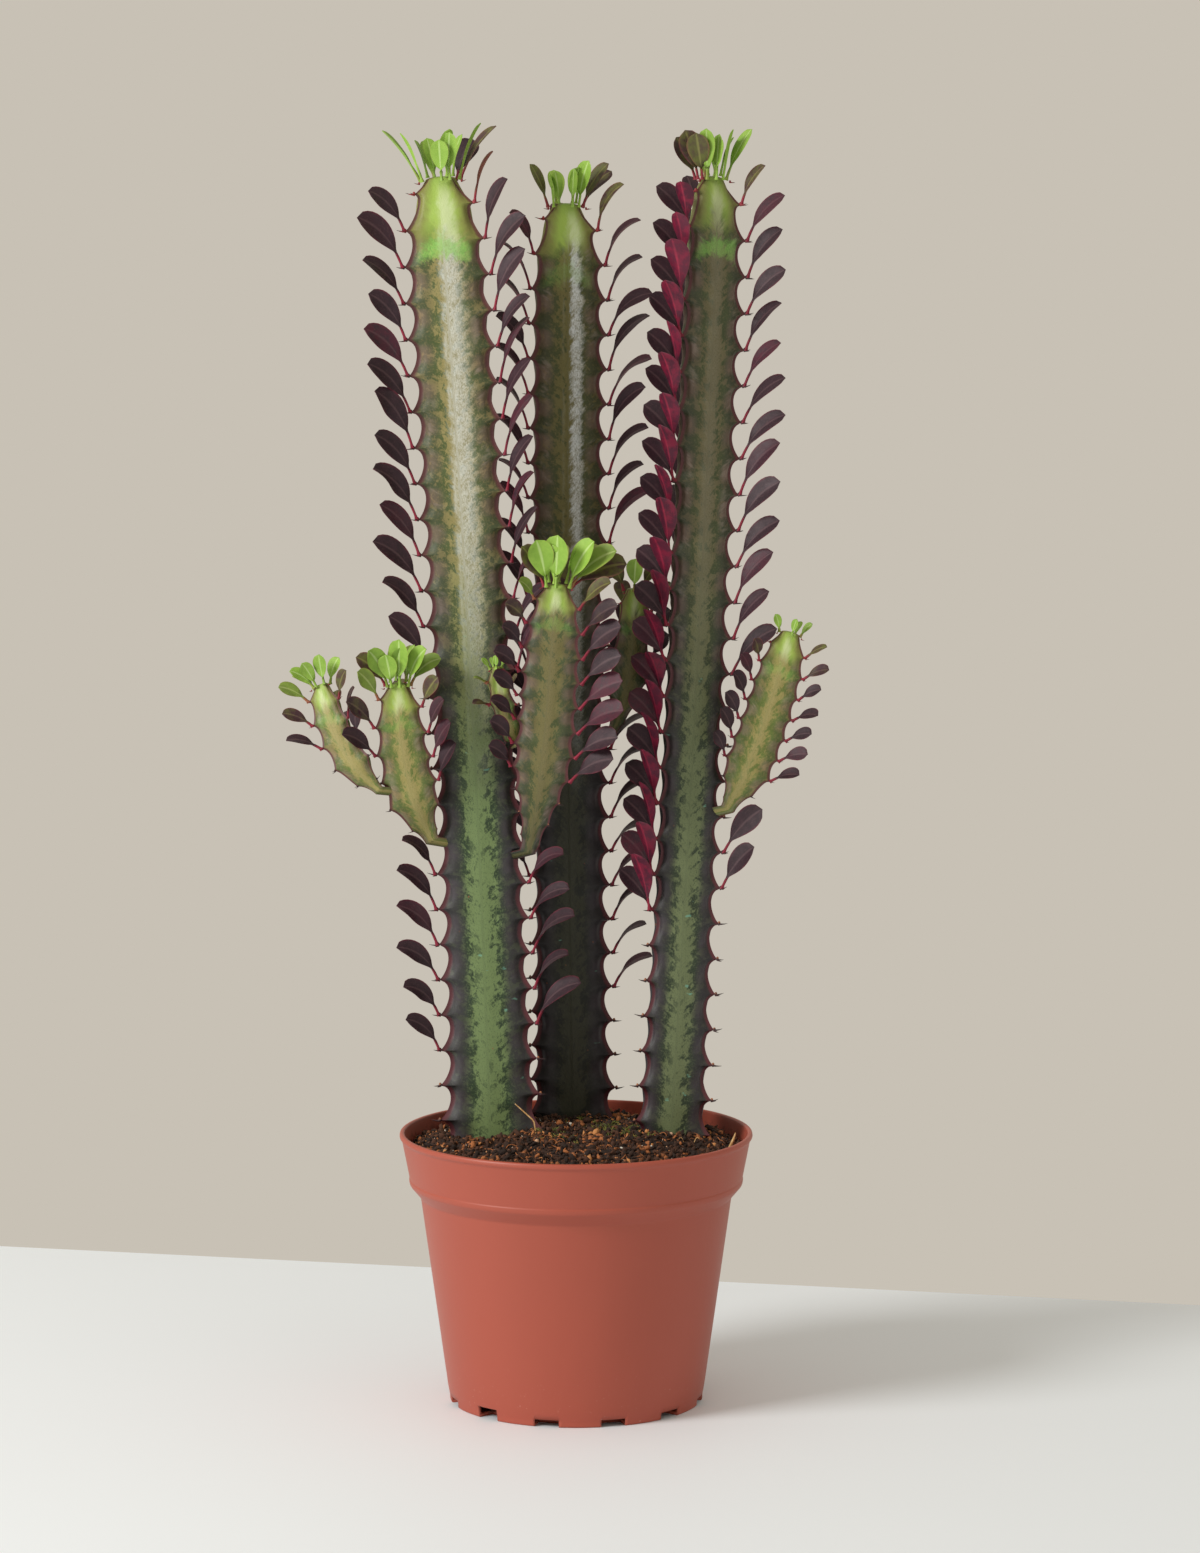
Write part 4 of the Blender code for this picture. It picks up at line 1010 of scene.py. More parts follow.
class Leaf:
    """One leaf: an arching petiole and blade that leaves a point at one elevation and ends at another."""

    def __init__(self, start, out, up, length, width, lift, turn, widths=LEAF_WIDTHS):
        self.widths = widths
        self.width = width
        self.turn = turn
        self.centres, self.tangents = [Vector(start)], []
        for i in range(LEAF_STEPS + 1):
            share = i / LEAF_STEPS
            elevation = math.radians(lift[0] + (lift[1] - lift[0]) * share**LEAF_BEND)
            tangent = out * math.cos(elevation) + up * math.sin(elevation)
            self.tangents.append(tangent)
            if i:
                step = (self.tangents[-1] + self.tangents[-2]) * (length / LEAF_STEPS / 2)
                self.centres.append(self.centres[-1] + step)
        self.out, self.up = out, up

    def at(self, share):
        """(centre, side direction, upper face's normal) at this share of its length."""
        place = share * LEAF_STEPS
        low = min(LEAF_STEPS - 1, int(place))
        part = place - low
        centre = self.centres[low].lerp(self.centres[low + 1], part)
        tangent = self.tangents[low].lerp(self.tangents[low + 1], part).normalized()
        inward = self.up.cross(self.out).cross(tangent).normalized()
        if inward.dot(self.up - self.out) < 0:
            inward.negate()
        to_light = LIGHT - tangent * LIGHT.dot(tangent)
        turn = self.turn * smooth_step(share / LEAF_TURNED_BY)
        normal = (inward * (1 - turn) + to_light.normalized() * turn).normalized()
        return centre, normal.cross(tangent).normalized(), normal

    def section(self, share, width):
        centre, side, normal = self.at(share)
        raised = centre + normal * (LEAF_FOLD * width)
        half = LEAF_THICKNESS / 2
        left, right = raised - side * (width / 2), raised + side * (width / 2)
        return [left - normal * half, right - normal * half, right + normal * half, left + normal * half]

    def tree(self):
        """The plain leaf without its foot, for finding what it meets."""
        rings = [self.section(LEAF_TESTED_FROM, LEAF_PETIOLE)]
        for share, part in zip(LEAF_STATIONS, self.widths):
            rings.append(self.section(share, max(LEAF_PETIOLE, self.width * part)))
        points = [p for ring in rings for p in ring]
        return BVHTree.FromPolygons(points, tube_faces(len(rings), 4))


class Space:
    """What a new leaf has to keep clear of."""

    def __init__(self):
        self.taken = []

    def add(self, points, faces):
        self.taken.append(BVHTree.FromPolygons([Vector(p) for p in points], faces))

    def place(self, make_leaf):
        for steeper, aside, size in LEAF_MOVES:
            leaf = make_leaf(steeper, aside, size)
            tree = leaf.tree()
            if not any(tree.overlap(other) for other in self.taken):
                self.taken.append(tree)
                return leaf
        return None


def row_teeth(stalk, rib, low, high):
    """The longest run of a rib's teeth between two heights that no branch interrupts."""
    runs = [[]]
    for index in range(stalk.teeth_down()):
        distance = stalk.tooth_at(rib, index)
        crest = stalk.point(distance, stalk.rib_angle(rib, distance), stalk.reach(distance))
        if any(at == rib and abs(distance - place) < room for at, place, room in stalk.necks):
            runs.append([])
        elif low <= crest.z <= high:
            runs[-1].append(index)
    return max(runs, key=len)


def margin_rings(stalk, rib, teeth):
    """Sections of the horny margin over a run of teeth."""
    rings = []
    for index in teeth:
        tooth = stalk.tooth_at(rib, index)
        levels = [(tooth - TOOTH_HALF, 0.0), (tooth + TOOTH_HALF, 0.0)]
        if index != teeth[-1]:
            notch = tooth + NOTCH_AT * stalk.pitch
            levels.append((notch, stalk.depth(notch)))
        for distance, inset in levels:
            azimuth = stalk.rib_angle(rib, distance)
            crest = stalk.reach(tooth if not inset else distance) - inset
            out = stalk.out(distance, azimuth)
            across = stalk.frame(distance)[1].cross(out)
            inner = stalk.point(distance, azimuth, crest - MARGIN + GAP)
            outer = stalk.point(distance, azimuth, crest)
            rings.append([inner, outer - across * MARGIN_HALF_WIDTH, outer + across * MARGIN_HALF_WIDTH])
    return rings


def leaf_maker(stalk, rib, index, row, rng):
    """A function that makes the leaf of one tooth, given how far it has to move out of the way."""
    _, _, _, _, _, length, width, lift_from, lift_to, turn = row
    distance = stalk.tooth_at(rib, index)
    azimuth = stalk.rib_angle(rib, distance)
    start = stalk.point(distance, azimuth, stalk.reach(distance))
    young = YOUNG_SHARE[index] if index < YOUNG_TEETH else 1.0
    size = young * (1 + rng.uniform(-LENGTH_SPREAD, LENGTH_SPREAD))
    lift = rng.uniform(-LIFT_SPREAD, LIFT_SPREAD) + YOUNG_LIFT * (1 - young)
    swing = rng.uniform(-SWING_SPREAD, SWING_SPREAD)
    turned = min(1.0, max(0.0, turn + rng.uniform(-TURN_SPREAD, TURN_SPREAD)))
    up = stalk.frame(distance)[1]

    def make(steeper, aside, share):
        out = stalk.out(distance, azimuth + math.radians(swing + aside))
        foot_lift = min(LEAF_STEEPEST, lift_from + lift / 2 + steeper)
        angles = (foot_lift, lift_to + lift + LEAF_END_MOVE * steeper)
        return Leaf(start, out, up, length * size * share, width * size, angles, turned)

    return make


def crown_maker(stalk, number, rng):
    """The same for one of the upright young leaves at a growing tip."""
    count, length, width, first = CROWNS[stalk.name]
    swing = rng.uniform(-CROWN_AZIMUTH_SPREAD, CROWN_AZIMUTH_SPREAD)
    azimuth = math.radians(first + 360 * number / count + swing)
    drop = CROWN_SIZE_DROP * number / max(1, count - 1)
    size = 1 - drop + rng.uniform(-CROWN_SIZE_SPREAD, CROWN_SIZE_SPREAD)
    tilt = rng.uniform(-CROWN_TILT_SPREAD, CROWN_TILT_SPREAD)
    centre, up, _ = stalk.frame(0.0)
    start = centre + stalk.out(0.0, azimuth) * (stalk.reach(0.0) * CROWN_SPREAD) + up * (2 * GAP)

    def make(steeper, aside, share):
        out = stalk.out(0.0, azimuth + math.radians(aside))
        lift = (min(CROWN_STEEPEST, CROWN_LIFT[0] + steeper / 2), CROWN_LIFT[1] + tilt + steeper)
        foot = start + up * MARGIN / 2
        long, wide = length * size * share, width * size
        return Leaf(foot, out, up, long, wide, lift, CROWN_TURN, YOUNG_LEAF_WIDTHS)

    return make


def row_name(row):
    stem, rib, part = row[:3]
    return "_".join(filter(None, (stem, rib, "leaves", part)))


# Young leaves round each growing tip, besides the model's own: azimuth and first and last elevation
# in degrees, length, width, age (0 is new growth) and how far each turns to the light
YOUNG_LEAVES = {
    "left_stem": (
        (188, 66, 46, 0.0270, 0.0062, 0.12, 0.2), (205, 76, 58, 0.0225, 0.0064, 0.05, 0.3),
        (-60, 88, 74, 0.0200, 0.0094, 0.0, 0.8), (-85, 86, 80, 0.0170, 0.0086, 0.02, 0.8),
        (-18, 74, 50, 0.0255, 0.0072, 0.10, 0.3), (8, 66, 34, 0.0275, 0.0074, 0.50, 0.3),
        (40, 70, 42, 0.0200, 0.0120, 0.85, 0.7), (110, 74, 52, 0.0200, 0.0080, 0.20, 0.2),
    ),
    "middle_stem": (
        (195, 74, 56, 0.0200, 0.0062, 0.38, 0.5), (230, 84, 70, 0.0140, 0.0052, 0.05, 0.4),
        (-40, 84, 62, 0.0205, 0.0086, 0.02, 0.8), (-65, 88, 80, 0.0165, 0.0070, 0.0, 0.7),
        (-10, 74, 40, 0.0220, 0.0086, 0.42, 0.7), (20, 66, 28, 0.0210, 0.0090, 0.62, 0.5),
        (110, 74, 52, 0.0180, 0.0080, 0.20, 0.2),
    ),
    "right_stem": (
        (212, 78, 60, 0.0215, 0.0100, 0.55, 0.8), (235, 78, 66, 0.0200, 0.0104, 0.40, 0.8),
        (255, 84, 70, 0.0215, 0.0082, 0.12, 0.8), (-70, 88, 80, 0.0190, 0.0070, 0.02, 0.7),
        (-40, 82, 72, 0.0215, 0.0058, 0.02, 0.4), (-12, 74, 52, 0.0240, 0.0074, 0.12, 0.6),
        (180, 72, 52, 0.0195, 0.0100, 0.62, 0.7), (110, 74, 52, 0.0180, 0.0080, 0.25, 0.2),
    ),
    "inner_left_branch": (
        (-80, 88, 76, 0.0210, 0.0100, 0.0, 0.9), (-35, 78, 34, 0.0200, 0.0092, 0.08, 0.9),
        (215, 78, 40, 0.0190, 0.0094, 0.10, 0.9), (-10, 66, 8, 0.0185, 0.0086, 0.25, 0.9),
        (185, 66, 22, 0.0180, 0.0090, 0.45, 0.8), (60, 72, 40, 0.0180, 0.0090, 0.30, 0.4),
        (-120, 84, 66, 0.0150, 0.0090, 0.02, 0.9),
    ),
    "outer_left_branch": (
        (-70, 84, 60, 0.0130, 0.0064, 0.05, 0.9), (200, 70, 20, 0.0130, 0.0060, 0.15, 0.9),
        (-10, 70, 36, 0.0120, 0.0064, 0.10, 0.9), (150, 66, 24, 0.0130, 0.0060, 0.20, 0.6),
        (-130, 80, 50, 0.0120, 0.0060, 0.04, 0.9),
    ),
    "centre_branch": (
        (-95, 88, 78, 0.0225, 0.0124, 0.0, 0.9), (-140, 80, 60, 0.0210, 0.0116, 0.03, 0.9),
        (-30, 76, 44, 0.0235, 0.0120, 0.06, 0.95), (-15, 60, 18, 0.0260, 0.0120, 0.26, 0.95),
        (-5, 44, 4, 0.0260, 0.0120, 0.45, 0.9), (200, 70, 40, 0.0200, 0.0100, 0.40, 0.8),
        (30, 66, 24, 0.0230, 0.0108, 0.30, 0.8), (90, 72, 44, 0.0200, 0.0100, 0.25, 0.3),
    ),
    "right_branch": (
        (-80, 86, 70, 0.0075, 0.0034, 0.05, 0.8), (-20, 74, 44, 0.0080, 0.0034, 0.20, 0.8),
        (200, 74, 44, 0.0080, 0.0036, 0.15, 0.8), (60, 74, 50, 0.0070, 0.0032, 0.05, 0.5),
    ),
    "rear_branch": (
        (-80, 86, 66, 0.0150, 0.0080, 0.20, 0.9), (-20, 70, 30, 0.0180, 0.0086, 0.40, 0.9),
        (190, 74, 44, 0.0160, 0.0080, 0.40, 0.8),
    ),
    "front_bud": (
        (-80, 84, 64, 0.0060, 0.0028, 0.05, 0.8), (-10, 70, 40, 0.0056, 0.0024, 0.05, 0.8),
        (200, 70, 40, 0.0060, 0.0024, 0.10, 0.8), (110, 76, 50, 0.0050, 0.0022, 0.0, 0.4),
    ),
}
YOUNG_SPREAD = 0.85  # share of the tip's reach at which they stand
YOUNG_SUNK = 0.0004
# A second leaf on each tooth of the right stem's front rib, behind the first one
SECOND_LEAF = {"turned": -46, "length": 0.0225, "width": 0.0110, "lift": (64, 30), "turn": 0.75}


def young_leaf(stalk, spec):
    azimuth, lift_from, lift_to, length, width, age, turn = spec
    centre, up, _ = stalk.frame(0.0)
    out = stalk.out(0.0, math.radians(azimuth))
    start = centre + out * (stalk.reach(0.0) * YOUNG_SPREAD) - up * YOUNG_SUNK
    return Leaf(start, out, up, length, width, (lift_from, lift_to), turn, YOUNG_LEAF_WIDTHS), age


def second_leaf(stalk, rib, index):
    distance = stalk.tooth_at(rib, index)
    azimuth = stalk.rib_angle(rib, distance) + math.radians(SECOND_LEAF["turned"])
    crest = stalk.point(distance, stalk.rib_angle(rib, distance), stalk.reach(distance) - MARGIN)
    out, up = stalk.out(distance, azimuth), stalk.frame(distance)[1]
    size = SECOND_LEAF["length"], SECOND_LEAF["width"]
    return Leaf(crest, out, up, *size, SECOND_LEAF["lift"], SECOND_LEAF["turn"])


class Plant:
    """Every stalk and every leaf, placed once and shared by the operators."""

    def __init__(self):
        self.stalks = make_stalks()
        space = Space()
        for stalk in self.stalks.values():
            space.add(*stalk.body())
        self.crowns, self.rows = {}, {}
        for name in CROWNS:
            rng = random.Random("crown " + name)
            makers = [crown_maker(self.stalks[name], i, rng) for i in range(CROWNS[name][0])]
            self.crowns[name] = [space.place(maker) for maker in makers]
        plans = []
        for row in LEAF_ROWS:
            stalk = self.stalks[row[0]]
            rib = stalk.spec["ribs"].index(row[1])
            teeth = row_teeth(stalk, rib, row[3], row[4])
            rings = margin_rings(stalk, rib, teeth)
            plans.append((row, stalk, rib, teeth))
            space.add([p for ring in rings for p in ring], tube_faces(len(rings), 3))
        for row, stalk, rib, teeth in plans:
            rng = random.Random(row_name(row))
            found = {}
            for index in teeth:
                found[index] = space.place(leaf_maker(stalk, rib, index, row, rng))
            self.rows[row_name(row)] = (stalk, rib, found)


PLANT = {}


def plant():
    if not PLANT:
        PLANT["it"] = Plant()
    return PLANT["it"]


# Pieces


def fillet(points, radius, steps=5):
    """A profile whose inner corners are rounded, as far as their sides allow."""
    done = [points[0]]
    for before, corner, after in zip(points, points[1:], points[2:]):
        before, corner, after = Vector(before), Vector(corner), Vector(after)
        reach = min(radius, (before - corner).length * 0.45, (after - corner).length * 0.45)
        a = corner + (before - corner).normalized() * reach
        b = corner + (after - corner).normalized() * reach
        for i in range(steps + 1):
            t = i / steps
            done.append(tuple(a * (1 - t) ** 2 + corner * 2 * t * (1 - t) + b * t**2))
    done.append(points[-1])
    return done


def pot_profile():
    """(radius, height) round the pot's wall: out along the foot, up, over the lip and down inside."""
    levels = pot_levels()
    top = levels[-1][0]
    rim = POT_BOX[1][0]
    corner = look("pot").fillet
    (_, foot), (shoulder, wall), (collar, skirt), _ = levels
    outer = [(0.0, 0.0008), (foot - 0.012, 0.0008), (foot - 0.0135, 0.0), (foot, 0.0)]
    outer += [(foot + 0.0001, 0.0022)]
    for height in (0.0062, 0.0085, 0.012, 0.035, 0.062):
        outer.append((foot + (wall - foot) * height / shoulder, height))
    outer += [(wall, shoulder), (skirt, collar)]
    outer += [(skirt + 0.0002, collar + 0.0018), (skirt - 0.00005, collar + 0.0024)]
    outer += [(levels[-1][1] - 0.0002, top - 0.0030), (rim, top - 0.0018), (rim - 0.0004, top)]
    inner = [(rim - 0.0022, top), (inner_radius(top - 0.002), top - 0.003)]
    inner += [(inner_radius(h), h) for h in (collar, shoulder, 0.0016)]
    return fillet([*outer, *inner, (0.0, 0.0016)], corner)


class EUPHORBIA_OT_pot(bpy.types.Operator):
    """Turns the pot's profile and cuts its drainage slots"""

    bl_idname = "euphorbia.pot"
    bl_label = "Pot"

    slots = 12
    slot_size = (0.0145, 0.0105, 0.0050)
    slot_start = math.radians(17.0)

    def execute(self, context):
        profile = np.array(pot_profile())
        segments = look("pot").segments
        angles = np.arange(segments) * 2 * math.pi / segments
        body = profile[1:-1]
        ring = np.stack([np.cos(angles), np.sin(angles)], 1)
        points = np.concatenate(
            [np.column_stack([ring * r, np.full(segments, z)]) for r, z in body]
            + [[(0, 0, profile[0][1]), (0, 0, profile[-1][1])]]
        )
        low, high = len(points) - 2, len(points) - 1
        first = np.arange(segments)
        after = (first + 1) % segments
        last = (len(body) - 1) * segments
        sheaf = Sheaf()
        fans = [
            np.stack([np.full(segments, low), after, first], 1),
            np.stack([np.full(segments, high), first + last, after + last], 1),
        ]
        sheaf.add(points, [grid_faces(len(body), segments), *fans])
        pot = sheaf.build("nursery_pot", pot_material(), smooth=32)
        cutter = self.cutter()
        cut = pot.modifiers.new("slots", "BOOLEAN")
        cut.operation = "DIFFERENCE"
        cut.solver = "EXACT"
        cut.object = cutter
        view = context.evaluated_depsgraph_get()
        mesh = bpy.data.meshes.new_from_object(pot.evaluated_get(view))
        pot.modifiers.clear()
        pot.data = mesh
        bpy.data.objects.remove(cutter)
        self.mark(mesh)
        keep(pot, "pot_plastic", "pot")
        return {"FINISHED"}

    def cutter(self):
        """Blocks across the corner of the floor and the wall, between them and through both."""
        sheaf = Sheaf()
        long, wide, tall = self.slot_size
        centre = pot_levels()[0][1] - 0.0005
        for i in range(self.slots):
            turn = Matrix.Rotation(self.slot_start + 2 * math.pi * i / self.slots, 3, "Z")
            corners = []
            for z in (-tall, tall if i % 5 == 2 else tall * 0.64):
                for x, y in ((-1, -1), (1, -1), (1, 1), (-1, 1)):
                    corners.append(tuple(turn @ Vector((centre + x * long / 2, y * wide / 2, z))))
            sheaf.add(corners, [grid_faces(2, 4), *caps(2, 4)])
        return sheaf.build("slot_cutter", bpy.data.materials.new("slot_cutter"), smooth=None)

    def mark(self, mesh):
        """Stores each point's height, and whether it is on the inside."""
        points = np.empty(len(mesh.vertices) * 3)
        mesh.vertices.foreach_get("co", points)
        points = points.reshape(-1, 3)
        radius = np.hypot(points[:, 0], points[:, 1])
        limit = np.array([inner_radius(h) for h in points[:, 2]]) + POT_WALL * 0.4
        inside = ((radius < limit) & (points[:, 2] > 0.0012)).astype(float)
        mesh.attributes.new("inside", "FLOAT", "POINT").data.foreach_set("value", inside)
        mesh.attributes.new("height", "FLOAT", "POINT").data.foreach_set("value", points[:, 2])


ICOSAHEDRON_FACES = np.array([
    (0, 11, 5), (0, 5, 1), (0, 1, 7), (0, 7, 10), (0, 10, 11), (1, 5, 9), (5, 11, 4), (11, 10, 2),
    (10, 7, 6), (7, 1, 8), (3, 9, 4), (3, 4, 2), (3, 2, 6), (3, 6, 8), (3, 8, 9), (4, 9, 5),
    (2, 4, 11), (6, 2, 10), (8, 6, 7), (9, 8, 1),
])


def icosahedron():
    g = (1 + 5**0.5) / 2
    points = [
        (-1, g, 0), (1, g, 0), (-1, -g, 0), (1, -g, 0), (0, -1, g), (0, 1, g),
        (0, -1, -g), (0, 1, -g), (g, 0, -1), (g, 0, 1), (-g, 0, -1), (-g, 0, 1),
    ]
    return np.array(points) / math.hypot(1, g)


def lump_height(x, y):
    """The soil's surface at a place, with its lumps."""
    radius = math.hypot(x, y)
    rough = look("soil").roughness_height
    coarse = noise.fractal(Vector((x * 70, y * 70, 0.3)), 1.0, 2.0, 4)
    fine = noise.fractal(Vector((x * 420, y * 420, 4.0)), 1.0, 2.0, 3)
    swell = 0.0
    for spec in MAIN_STEMS.values():
        foot_x, foot_y = foot_place(spec)
        away = math.hypot(x - foot_x, y - foot_y) - spec["foot_reach"]
        swell = max(swell, 0.0022 * math.exp(-((away / 0.007) ** 2)))
    return soil_height(radius) + rough * (coarse + 0.45 * fine) + swell


def in_stem(x, y, inset=0.55):
    """Whether a place is well inside a stem's foot."""
    for spec in MAIN_STEMS.values():
        foot_x, foot_y = foot_place(spec)
        if math.hypot(x - foot_x, y - foot_y) < spec["foot_reach"] * inset:
            return True
    return False


class EUPHORBIA_OT_soil(bpy.types.Operator):
    """Fills the pot with lumpy soil and scatters crumbs, fibres, moss and straw on it"""

    bl_idname = "euphorbia.soil"
    bl_label = "Soil"

    rings = 90
    segments = 260
    depth = 0.018

    def execute(self, context):
        self.rng = np.random.default_rng(17)
        self.edge = inner_radius(pot_levels()[-1][0] - SOIL_BELOW_RIM) - 0.0002
        self.bed()
        self.crumbs()
        self.fibres()
        self.moss()
        self.straw()
        return {"FINISHED"}

    def bed(self):
        angles = np.arange(self.segments) * 2 * math.pi / self.segments
        points, radii = [], np.linspace(1.0, 1 / self.rings, self.rings) * self.edge
        lowest = soil_height(self.edge) - self.depth
        for angle in angles:
            radius = inner_radius(lowest) - 0.0004
            points.append((radius * math.cos(angle), radius * math.sin(angle), lowest))
        for radius in radii:
            for angle in angles:
                x, y = radius * math.cos(angle), radius * math.sin(angle)
                points.append((x, y, lump_height(x, y)))
        points.append((0, 0, lump_height(0, 0)))
        top, last = len(points) - 1, self.rings * self.segments
        first = np.arange(self.segments)
        fan = np.stack([np.full(self.segments, top), first + last, (first + 1) % self.segments + last], 1)
        sheaf = Sheaf()
        base = np.arange(self.segments)[None, ::-1]
        sheaf.add(points, [grid_faces(self.rings + 1, self.segments), fan, base])
        keep(sheaf.build("soil_bed", soil_material(), smooth=60), "soil", "soil")

    def spot(self, limit=0.985):
        """A random place on the soil that isn't inside a stem."""
        while True:
            radius = self.edge * limit * math.sqrt(self.rng.random())
            angle = self.rng.random() * 2 * math.pi
            x, y = radius * math.cos(angle), radius * math.sin(angle)
            if not in_stem(x, y):
                return x, y

    def crumbs(self):
        shape = icosahedron()
        sheaf = Sheaf()
        for _ in range(look("soil").crumbs):
            x, y = self.spot()
            tone = self.rng.random()
            size = 0.00042 + 0.0011 * self.rng.random() ** 3
            axes = size * (0.5 + self.rng.random(3) * np.array([1.6, 0.7, 0.6]))
            if tone > 0.975:
                axes *= 0.7
            turn = np.linalg.qr(self.rng.normal(size=(3, 3)))[0]
            jitter = 1 + self.rng.uniform(-0.35, 0.35, (12, 1))
            points = (shape * jitter * axes) @ turn
            points += (x, y, lump_height(x, y) + size * self.rng.uniform(-0.2, 0.9))
            sheaf.add(points, ICOSAHEDRON_FACES, tone=tone)
        keep(sheaf.build("soil_crumbs", crumb_material(), smooth=None), "soil")

    def fibres(self):
        sheaf = Sheaf()
        for _ in range(look("soil").fibres):
            x, y = self.spot(0.93)
            heading, bend = self.rng.uniform(0, 2 * math.pi), self.rng.uniform(-1.6, 1.6)
            long = 0.002 + 0.006 * self.rng.random() ** 2
            arch = self.rng.uniform(0.0, 0.28) * long
            path, radii = [], []
            for i in range(7):
                t = i / 6
                angle = heading + bend * (t - 0.5)
                px = x + math.cos(angle) * long * (t - 0.5)
                py = y + math.sin(angle) * long * (t - 0.5)
                path.append((px, py, lump_height(px, py) + 0.0005 + arch * math.sin(math.pi * t)))
                radii.append(self.rng.uniform(0.7, 1.0) * (0.00013 if i in (0, 6) else 0.00022))
            points, faces = tube(path, radii, 5)
            sheaf.add(points, faces, tone=self.rng.uniform(0.5, 0.95))
        keep(sheaf.build("coir_fibres", crumb_material(), smooth=None), "soil")

    def moss(self):
        """Tufts of short blades between the stems."""
        sheaf = Sheaf()
        patches = ((0.016, 0.004, 26), (0.007, 0.012, 22), (-0.008, -0.012, 16), (0.024, -0.004, 10))
        for px, py, tufts in patches:
            for _ in range(tufts):
                x, y = px + self.rng.normal() * 0.0048, py + self.rng.normal() * 0.0042
                tone = self.rng.random()
                for _ in range(9):
                    lean = self.rng.normal(size=2) * 0.5
                    bx, by = x + self.rng.normal() * 0.0008, y + self.rng.normal() * 0.0008
                    tall = self.rng.uniform(0.0008, 0.0022)
                    z = lump_height(bx, by) - 0.0001
                    path = [
                        (bx + lean[0] * tall * t, by + lean[1] * tall * t, z + tall * t * (1 - 0.25 * t))
                        for t in (0.0, 0.4, 0.75, 1.0)
                    ]
                    points, faces = tube(path, (0.00022, 0.00026, 0.00017, 0.00004), 4)
                    sheaf.add(points, faces, tone=tone)
        keep(sheaf.build("moss_tufts", moss_material(), smooth=60), "soil")

    def straw(self):
        """A bent straw on the left stem, two pale shreds by the right one and one on the wall."""
        sheaf = Sheaf()
        rest = soil_height(0.02)
        bent = [
            (-0.0260, -0.0080, rest + 0.0145), (-0.0225, -0.0090, rest + 0.0115),
            (-0.0185, -0.0098, rest + 0.0080), (-0.0178, -0.0102, rest + 0.0070),
            (-0.0172, -0.0108, rest + 0.0030), (-0.0162, -0.0120, rest - 0.0005),
        ]
        sheaf.add(*tube(bent, (0.00018, 0.0003, 0.00034, 0.00032, 0.0003, 0.00028), 6))
        wall = self.edge - 0.0012
        sliver = [
            (wall - 0.0060, -0.0130, soil_height(wall) + 0.0008),
            (wall - 0.0052, -0.0132, soil_height(wall) + 0.0032),
            (wall - 0.0036, -0.0126, soil_height(wall) + 0.0066),
            (wall - 0.0028, -0.0122, soil_height(wall) + 0.0092),
        ]
        sheaf.add(*tube(sliver, (0.0004, 0.0007, 0.0006, 0.0002), 6))
        for side in (-1, 1):
            start = Vector((0.0480 + side * 0.0022, -0.0125, lump_height(0.048, -0.0125)))
            path = [
                start + Vector((side * 0.0022 * t, -0.0012 * t, 0.0052 * t * (1.3 - t)))
                for t in (0.0, 0.25, 0.5, 0.75, 1.0)
            ]
            sheaf.add(*tube(path, (0.0002, 0.00024, 0.00022, 0.00016, 0.00008), 5))
        keep(sheaf.build("straw", straw_material(), smooth=60), "soil")


def letters(name):
    """A number made from a name's letters, to start random draws from."""
    return sum(ord(c) for c in name)


def notch_shape(phase):
    """0 at a tooth and 1 where a rib's crest is cut deepest; phase runs down from tooth to tooth."""
    return math.sin(math.pi * phase**0.72) ** 0.6 if 0 < phase < 1 else 0.0


